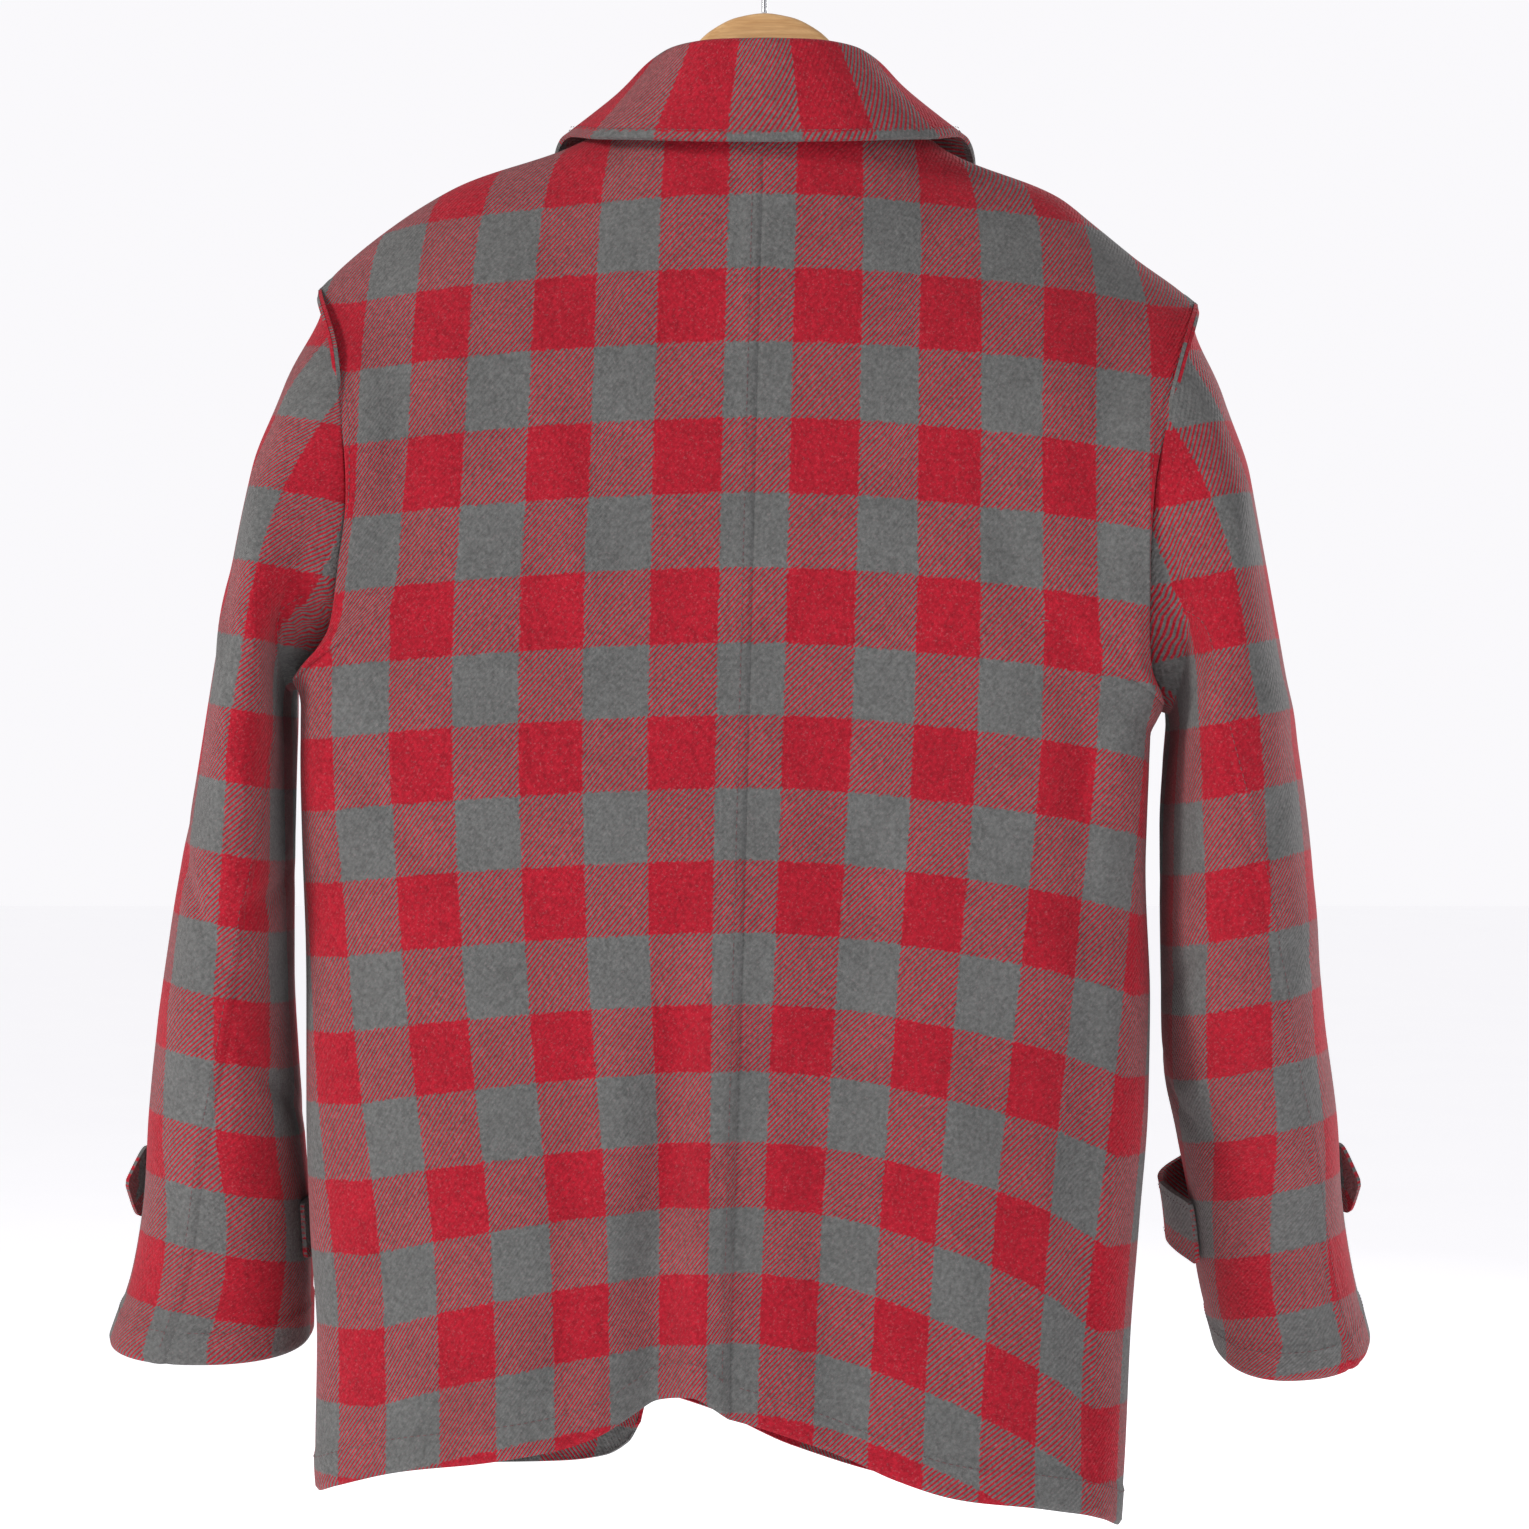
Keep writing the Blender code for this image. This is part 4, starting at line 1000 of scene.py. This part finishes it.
def stitch_row(name, path, normals):
    """Stitches at an even pitch along a path over the cloth."""
    run = np.concatenate([[0], np.cumsum(np.linalg.norm(np.diff(path, axis=0), axis=1))])
    at = np.arange(STITCH_PITCH, run[-1] - STITCH_PITCH, STITCH_PITCH)

    def on_path(values, where):
        return np.stack([np.interp(where, run, values[:, k]) for k in range(3)], axis=-1)

    places, facing = on_path(path, at), on_path(normals, at)
    facing /= np.linalg.norm(facing, axis=1, keepdims=True)
    ways = on_path(path, at + 1) - on_path(path, at - 1)
    ways /= np.linalg.norm(ways, axis=1, keepdims=True)
    add_stitches(name, places + facing * 0.1, ways, facing, (STITCH_LENGTH, THREAD_WIDE, THREAD_HIGH))


def line_beside(points, normals, axis, last, distance):
    """The line that runs a set distance in from one edge of a panel."""
    run = run_from(points, axis, last)
    across = np.moveaxis(points, axis, 1)
    facing = np.moveaxis(normals, axis, 1)
    run = np.moveaxis(run, axis, 1) if axis == 0 else run
    if last:
        across, facing, run = across[:, ::-1], facing[:, ::-1], run[:, ::-1]
    return tuple(
        np.array([[np.interp(distance, at, row[:, c]) for c in range(3)] for at, row in zip(run, grid)])
        for grid in (across, facing)
    )


for name, (points, normals) in body_panels.items():
    arm_row = PANEL_GRID[BACK if name.startswith("back") else FRONT][1]
    if name != "back_right":
        path, facing = line_beside(points, normals, 1, False, SEAM_ROW)
        stitch_row(f"stitches_{name}_middle", path[6:-4], facing[6:-4])
    path, facing = line_beside(points, normals, 1, True, SEAM_ROW)
    stitch_row(f"stitches_{name}_armhole", path[arm_row + 4 : -4], facing[arm_row + 4 : -4])
    path, facing = line_beside(points, normals, 0, False, HEM_ROW)
    stitch_row(f"stitches_{name}_hem", path[2:-2], facing[2:-2])
for name, (points, normals) in sleeve_panels.items():
    if name.endswith("upper"):
        path, facing = line_beside(points, normals, 1, True, SEAM_ROW)
        stitch_row(f"stitches_{name}_seam", path[6:-3], facing[6:-3])
    path, facing = line_beside(points, normals, 0, True, CUFF_ROW)
    stitch_row(f"stitches_{name}_cuff", path[1:-1], facing[1:-1])
path, facing = line_beside(collar_points, collar_normals, 1, True, SEAM_ROW)
stitch_row("stitches_collar_edge", path + facing * COLLAR_WALL / 2, facing)
for side, (points, normals) in tab_panels.items():
    for last, edge in ((False, "top"), (True, "low")):
        path, facing = line_beside(points[:-3], normals[:-3], 1, last, TAB_ROW)
        name = f"stitches_tab_{SIDE_NAME[side]}_{edge}"
        stitch_row(name, path + facing * TAB_WALL * 0.45, facing)

# ---- Buttons ----
# Turned horn-look buttons with a rolled rim, a shallow dish and four holes,
# sewn on with two bars of thread. Five close the front, and one each tab.
BUTTON_HEIGHTS = [-252, -352, -452, -552, -652]
BUTTON_RADIUS = 11.0
BUTTON_THICK = 3.2
TAB_BUTTON_RADIUS = 9.0
horn, tree, shader = new_material("dark_horn", 0.3, Coat_Weight=0.3)
at = add_node(tree, "ShaderNodeTexCoord").outputs["Object"]
streaks = add_node(tree, "ShaderNodeMapping", {"Vector": at, "Scale": (1, 3.5, 1)}).outputs[0]
tint(tree, shader, streaks, 240.0, (0.022, 0.014, 0.011, 1), (0.16, 0.085, 0.05, 1), 4.0)
tree.links.new(speckle(tree, at, 900.0, 0.24, 0.42), shader.inputs["Roughness"])


def add_button(name, node, place, normal, radius):
    """A disc with its top inset, dished and bevelled, its holes cut, laid on the cloth."""
    bpy.ops.object.select_all(action="DESELECT")
    bpy.ops.mesh.primitive_cylinder_add(
        vertices=56, radius=radius * MM, depth=BUTTON_THICK * MM, location=(0, 0, BUTTON_THICK * MM / 2)
    )
    piece = bpy.context.object
    piece.name = piece.data.name = name
    bpy.ops.object.transform_apply(location=True)
    bpy.ops.object.mode_set(mode="EDIT")
    bpy.ops.mesh.select_all(action="DESELECT")
    bpy.ops.object.mode_set(mode="OBJECT")
    for polygon in piece.data.polygons:
        polygon.select = polygon.normal.z > 0.9
    bpy.ops.object.mode_set(mode="EDIT")
    bpy.ops.mesh.select_mode(type="FACE")
    bpy.ops.mesh.inset(thickness=radius * 0.2 * MM)
    bpy.ops.mesh.inset(thickness=radius * 0.12 * MM)
    bpy.ops.transform.translate(value=(0, 0, -0.9 * MM))
    bpy.ops.object.mode_set(mode="OBJECT")
    rim = {"width": 0.6 * MM, "segments": 4, "limit_method": "ANGLE"}
    modify(piece, "BEVEL", **rim, angle_limit=math.radians(28))
    spacing = radius * 0.17
    for x in (-spacing, spacing):
        for y in (-spacing, spacing):
            bpy.ops.mesh.primitive_cylinder_add(
                vertices=16, radius=radius * 0.085 * MM, depth=12 * MM, location=(x * MM, y * MM, 0)
            )
            drill = bpy.context.object
            bpy.context.view_layer.objects.active = piece
            modify(piece, "BOOLEAN", object=drill, operation="DIFFERENCE")
            bpy.data.objects.remove(drill)
    bpy.ops.object.select_all(action="DESELECT")
    piece.select_set(True)
    smooth_and_paint(piece, 35, horn)
    turn = Vector(normal).to_track_quat("Z", "Y").to_matrix().to_4x4()
    piece.data.transform(Matrix.Translation(Vector(place) * MM) @ turn)
    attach(piece, "root")
    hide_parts(node)
    axes = np.array(turn.to_3x3())
    seat = np.array(place) + axes[:, 2] * (BUTTON_THICK - 0.85)
    bars = np.array([seat + axes[:, 1] * spacing * k for k in (-1, 1)])
    ways, facing = np.array([axes[:, 0]] * 2), np.array([axes[:, 2]] * 2)
    add_stitches("thread_" + node, bars, ways, facing, (spacing * 2.6, 0.9, 0.7))


lowest, top = hem[FRONT, RIGHT](-FIRST_SHARE[FRONT]), NECKLINE[0][3]
for number, height in enumerate(BUTTON_HEIGHTS, 1):
    rise, share = np.array((height - lowest) / (top - lowest)), np.array(0.0)
    place = panel_point(FRONT, RIGHT, share, rise)
    across = panel_point(FRONT, RIGHT, share + 0.03, rise) - place
    up = panel_point(FRONT, RIGHT, share, rise + 0.01) - place
    normal = np.cross(across, up)
    normal *= -np.sign(normal[1]) / np.linalg.norm(normal)
    place = place + normal * 0.5
    add_button(f"horn_front_{number}", f"front_button_{number}", place, normal, BUTTON_RADIUS)
for side in SIDES:
    lift = tab_lift(side, TAB_BUTTON_ANGLE) + TAB_WALL + 0.9
    place, normal = tab_surface(side, TAB_BUTTON_ANGLE, (TAB_TOP + TAB_BOTTOM) / 2, lift)
    label = SIDE_NAME[side]
    add_button("horn_tab_" + label, "tab_button_" + label, place, normal, TAB_BUTTON_RADIUS)

# ---- Hanger ----
# A varnished pale wood hanger: a rounded crown inside the neck, and two arms
# that slope down just under the shoulder seams.
# Hanger inside the neck: x, top z, bottom z, half-thickness. Beyond it the arms follow the shoulders.
CROWN = [
    (0, -85.5, -131, 6.5),
    (15, -87.8, -131, 6.5),
    (30, -95.2, -133, 6.5),
    (41, -106.0, -139, 6.5),
    (51, -122.0, -147, 6.0),
    (61, -139.0, -158, 5.5),
    (70, -149.0, -166, 5.0),
]
ARM_HEIGHT = (20.0, 12.0)
ARM_HALF_THICK = (5.5, 5.5)
ARM_END_SHARE = 0.95
HANGER_SIDES, HANGER_STATIONS = 40, 220
varnished_wood, tree, shader = new_material(
    "varnished_wood", 0.35, Coat_Weight=0.35, Coat_Roughness=0.18
)
at = add_node(tree, "ShaderNodeTexCoord").outputs["Object"]
grain_way = add_node(tree, "ShaderNodeMapping", {"Vector": at, "Scale": (4, 70, 70)}).outputs[0]
grain = speckle(tree, grain_way, 7.0, 0.0, 1.0, 5.0)
tone = blend_colours(tree, grain, (0.80, 0.50, 0.23, 1), (0.58, 0.31, 0.12, 1))
fine = blend_colours(tree, speckle(tree, grain_way, 34.0, 0.0, 0.4), tone, (0.45, 0.23, 0.085, 1))
tree.links.new(fine, shader.inputs["Base Color"])
tree.links.new(speckle(tree, grain_way, 12.0, 0.28, 0.45), shader.inputs["Roughness"])
bump = add_node(tree, "ShaderNodeBump", {"Height": grain, "Strength": 0.2, "Distance": 0.0003})
tree.links.new(bump.outputs[0], shader.inputs["Normal"])

stations = []
for side in SIDES:
    tip_x = outline[side](TIP_Z[side])
    shares = section_shares()
    seam = shoulder[side](shares)
    for x, top, bottom, thick in CROWN if side == LEFT else CROWN[1:]:
        stations.append((x * side, top, bottom, thick))
    arm_shares = [share for share in shares if NECK_SHARE < share < 0.93] + [ARM_END_SHARE]
    for share in [NECK_SHARE + 0.02] + arm_shares:
        out = (share - NECK_SHARE) / (ARM_END_SHARE - NECK_SHARE)
        ahead = np.interp(share + 0.02, shares, seam) - np.interp(share, shares, seam)
        top = np.interp(share, shares, seam) - 2.6 * math.hypot(1, ahead / (0.02 * tip_x))
        height = ARM_HEIGHT[0] + (ARM_HEIGHT[1] - ARM_HEIGHT[0]) * out
        thick = ARM_HALF_THICK[0] + (ARM_HALF_THICK[1] - ARM_HALF_THICK[0]) * out
        stations.append((tip_x * share, top, top - height, thick))
station_top, station_low, station_thick = (smooth_column(stations, k) for k in (1, 2, 3))
ends = (min(row[0] for row in stations), max(row[0] for row in stations))
turns = np.linspace(0, 2 * math.pi, HANGER_SIDES + 1)[:-1]
x, turn = np.meshgrid(np.linspace(*ends, HANGER_STATIONS), turns, indexing="ij")
to_end = np.minimum(x - ends[0], ends[1] - x)
rounding = np.sqrt(np.clip(1 - (1 - np.clip(to_end / 5.0, 0, 1)) ** 2, 0.02, 1))
half = (station_top(x) - station_low(x)) / 2 * rounding
y = station_thick(x) * rounding * np.sign(np.cos(turn)) * abs(np.cos(turn)) ** 0.7
y = y + SHOULDER_Y * smoothstep(50, 85, abs(x))
z = (station_top(x) + station_low(x)) / 2 + half * np.sin(turn)
bpy.ops.object.select_all(action="DESELECT")
bpy.ops.mesh.primitive_cylinder_add(vertices=HANGER_SIDES, radius=1, depth=2, end_fill_type="NGON")
hanger_piece = bpy.context.object
hanger_piece.name = hanger_piece.data.name = "wooden_hanger"
rings = [tuple(p) for p in np.stack([x, y, z], axis=-1).reshape(-1, 3) * MM]
faces = []
for i in range(HANGER_STATIONS - 1):
    for k in range(HANGER_SIDES):
        a, b = i * HANGER_SIDES + k, i * HANGER_SIDES + (k + 1) % HANGER_SIDES
        faces.append((a, a + HANGER_SIDES, b + HANGER_SIDES, b))
last = (HANGER_STATIONS - 1) * HANGER_SIDES
faces.append(tuple(range(HANGER_SIDES)))
faces.append(tuple(range(last, last + HANGER_SIDES))[::-1])
hanger_piece.data.clear_geometry()
hanger_piece.data.from_pydata(rings, [], faces)
bpy.ops.object.mode_set(mode="EDIT")
bpy.ops.mesh.select_all(action="SELECT")
bpy.ops.mesh.normals_make_consistent(inside=False)
bpy.ops.object.mode_set(mode="OBJECT")
smooth_and_paint(hanger_piece, 50, varnished_wood)
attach(hanger_piece, "root")
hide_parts("hanger")

# ---- Hook ----
# Plated steel wire, screwed into the crown and bent over to hang on a rail.
WIRE = 3.2
HOOK_RADIUS = 20.0
HOOK_STEM_TOP = -64.0
plated_wire, tree, shader = new_material("plated_wire", 0.25, Metallic=1.0)
at = add_node(tree, "ShaderNodeTexCoord").outputs["Object"]
tint(tree, shader, at, 160.0, (0.36, 0.36, 0.37, 1), (0.27, 0.27, 0.28, 1))
tree.links.new(speckle(tree, at, 500.0, 0.18, 0.34), shader.inputs["Roughness"])
bend, middle = HOOK_RADIUS + WIRE / 2, -HOOK_RADIUS
path = [(0, CROWN[0][1] + 0.4), (0, -78), (0, -71), (0, HOOK_STEM_TOP)]
for t in np.linspace(0.05, 1, 20):
    path.append((bend * t * t * (3 - 2 * t), HOOK_STEM_TOP + (middle - HOOK_STEM_TOP) * t))
for degrees in range(5, 196, 5):
    turn = math.radians(degrees)
    path.append((bend * math.cos(turn), middle + bend * math.sin(turn)))
curve = bpy.data.curves.new("wire_hook", "CURVE")
curve.dimensions = "3D"
curve.bevel_depth = WIRE / 2 * MM
curve.bevel_resolution = 6
curve.use_fill_caps = True
wire = curve.splines.new("POLY")
wire.points.add(len(path) - 1)
for point, (x, z) in zip(wire.points, path):
    point.co = (x * MM, 0, z * MM, 1)
hook_piece = bpy.data.objects.new("wire_hook", curve)
bpy.context.scene.collection.objects.link(hook_piece)
bpy.ops.object.select_all(action="DESELECT")
hook_piece.select_set(True)
bpy.context.view_layer.objects.active = hook_piece
bpy.ops.object.convert(target="MESH")
hook_piece = bpy.context.object
smooth_and_paint(hook_piece, 40, plated_wire)
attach(hook_piece, "root")
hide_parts("hook")
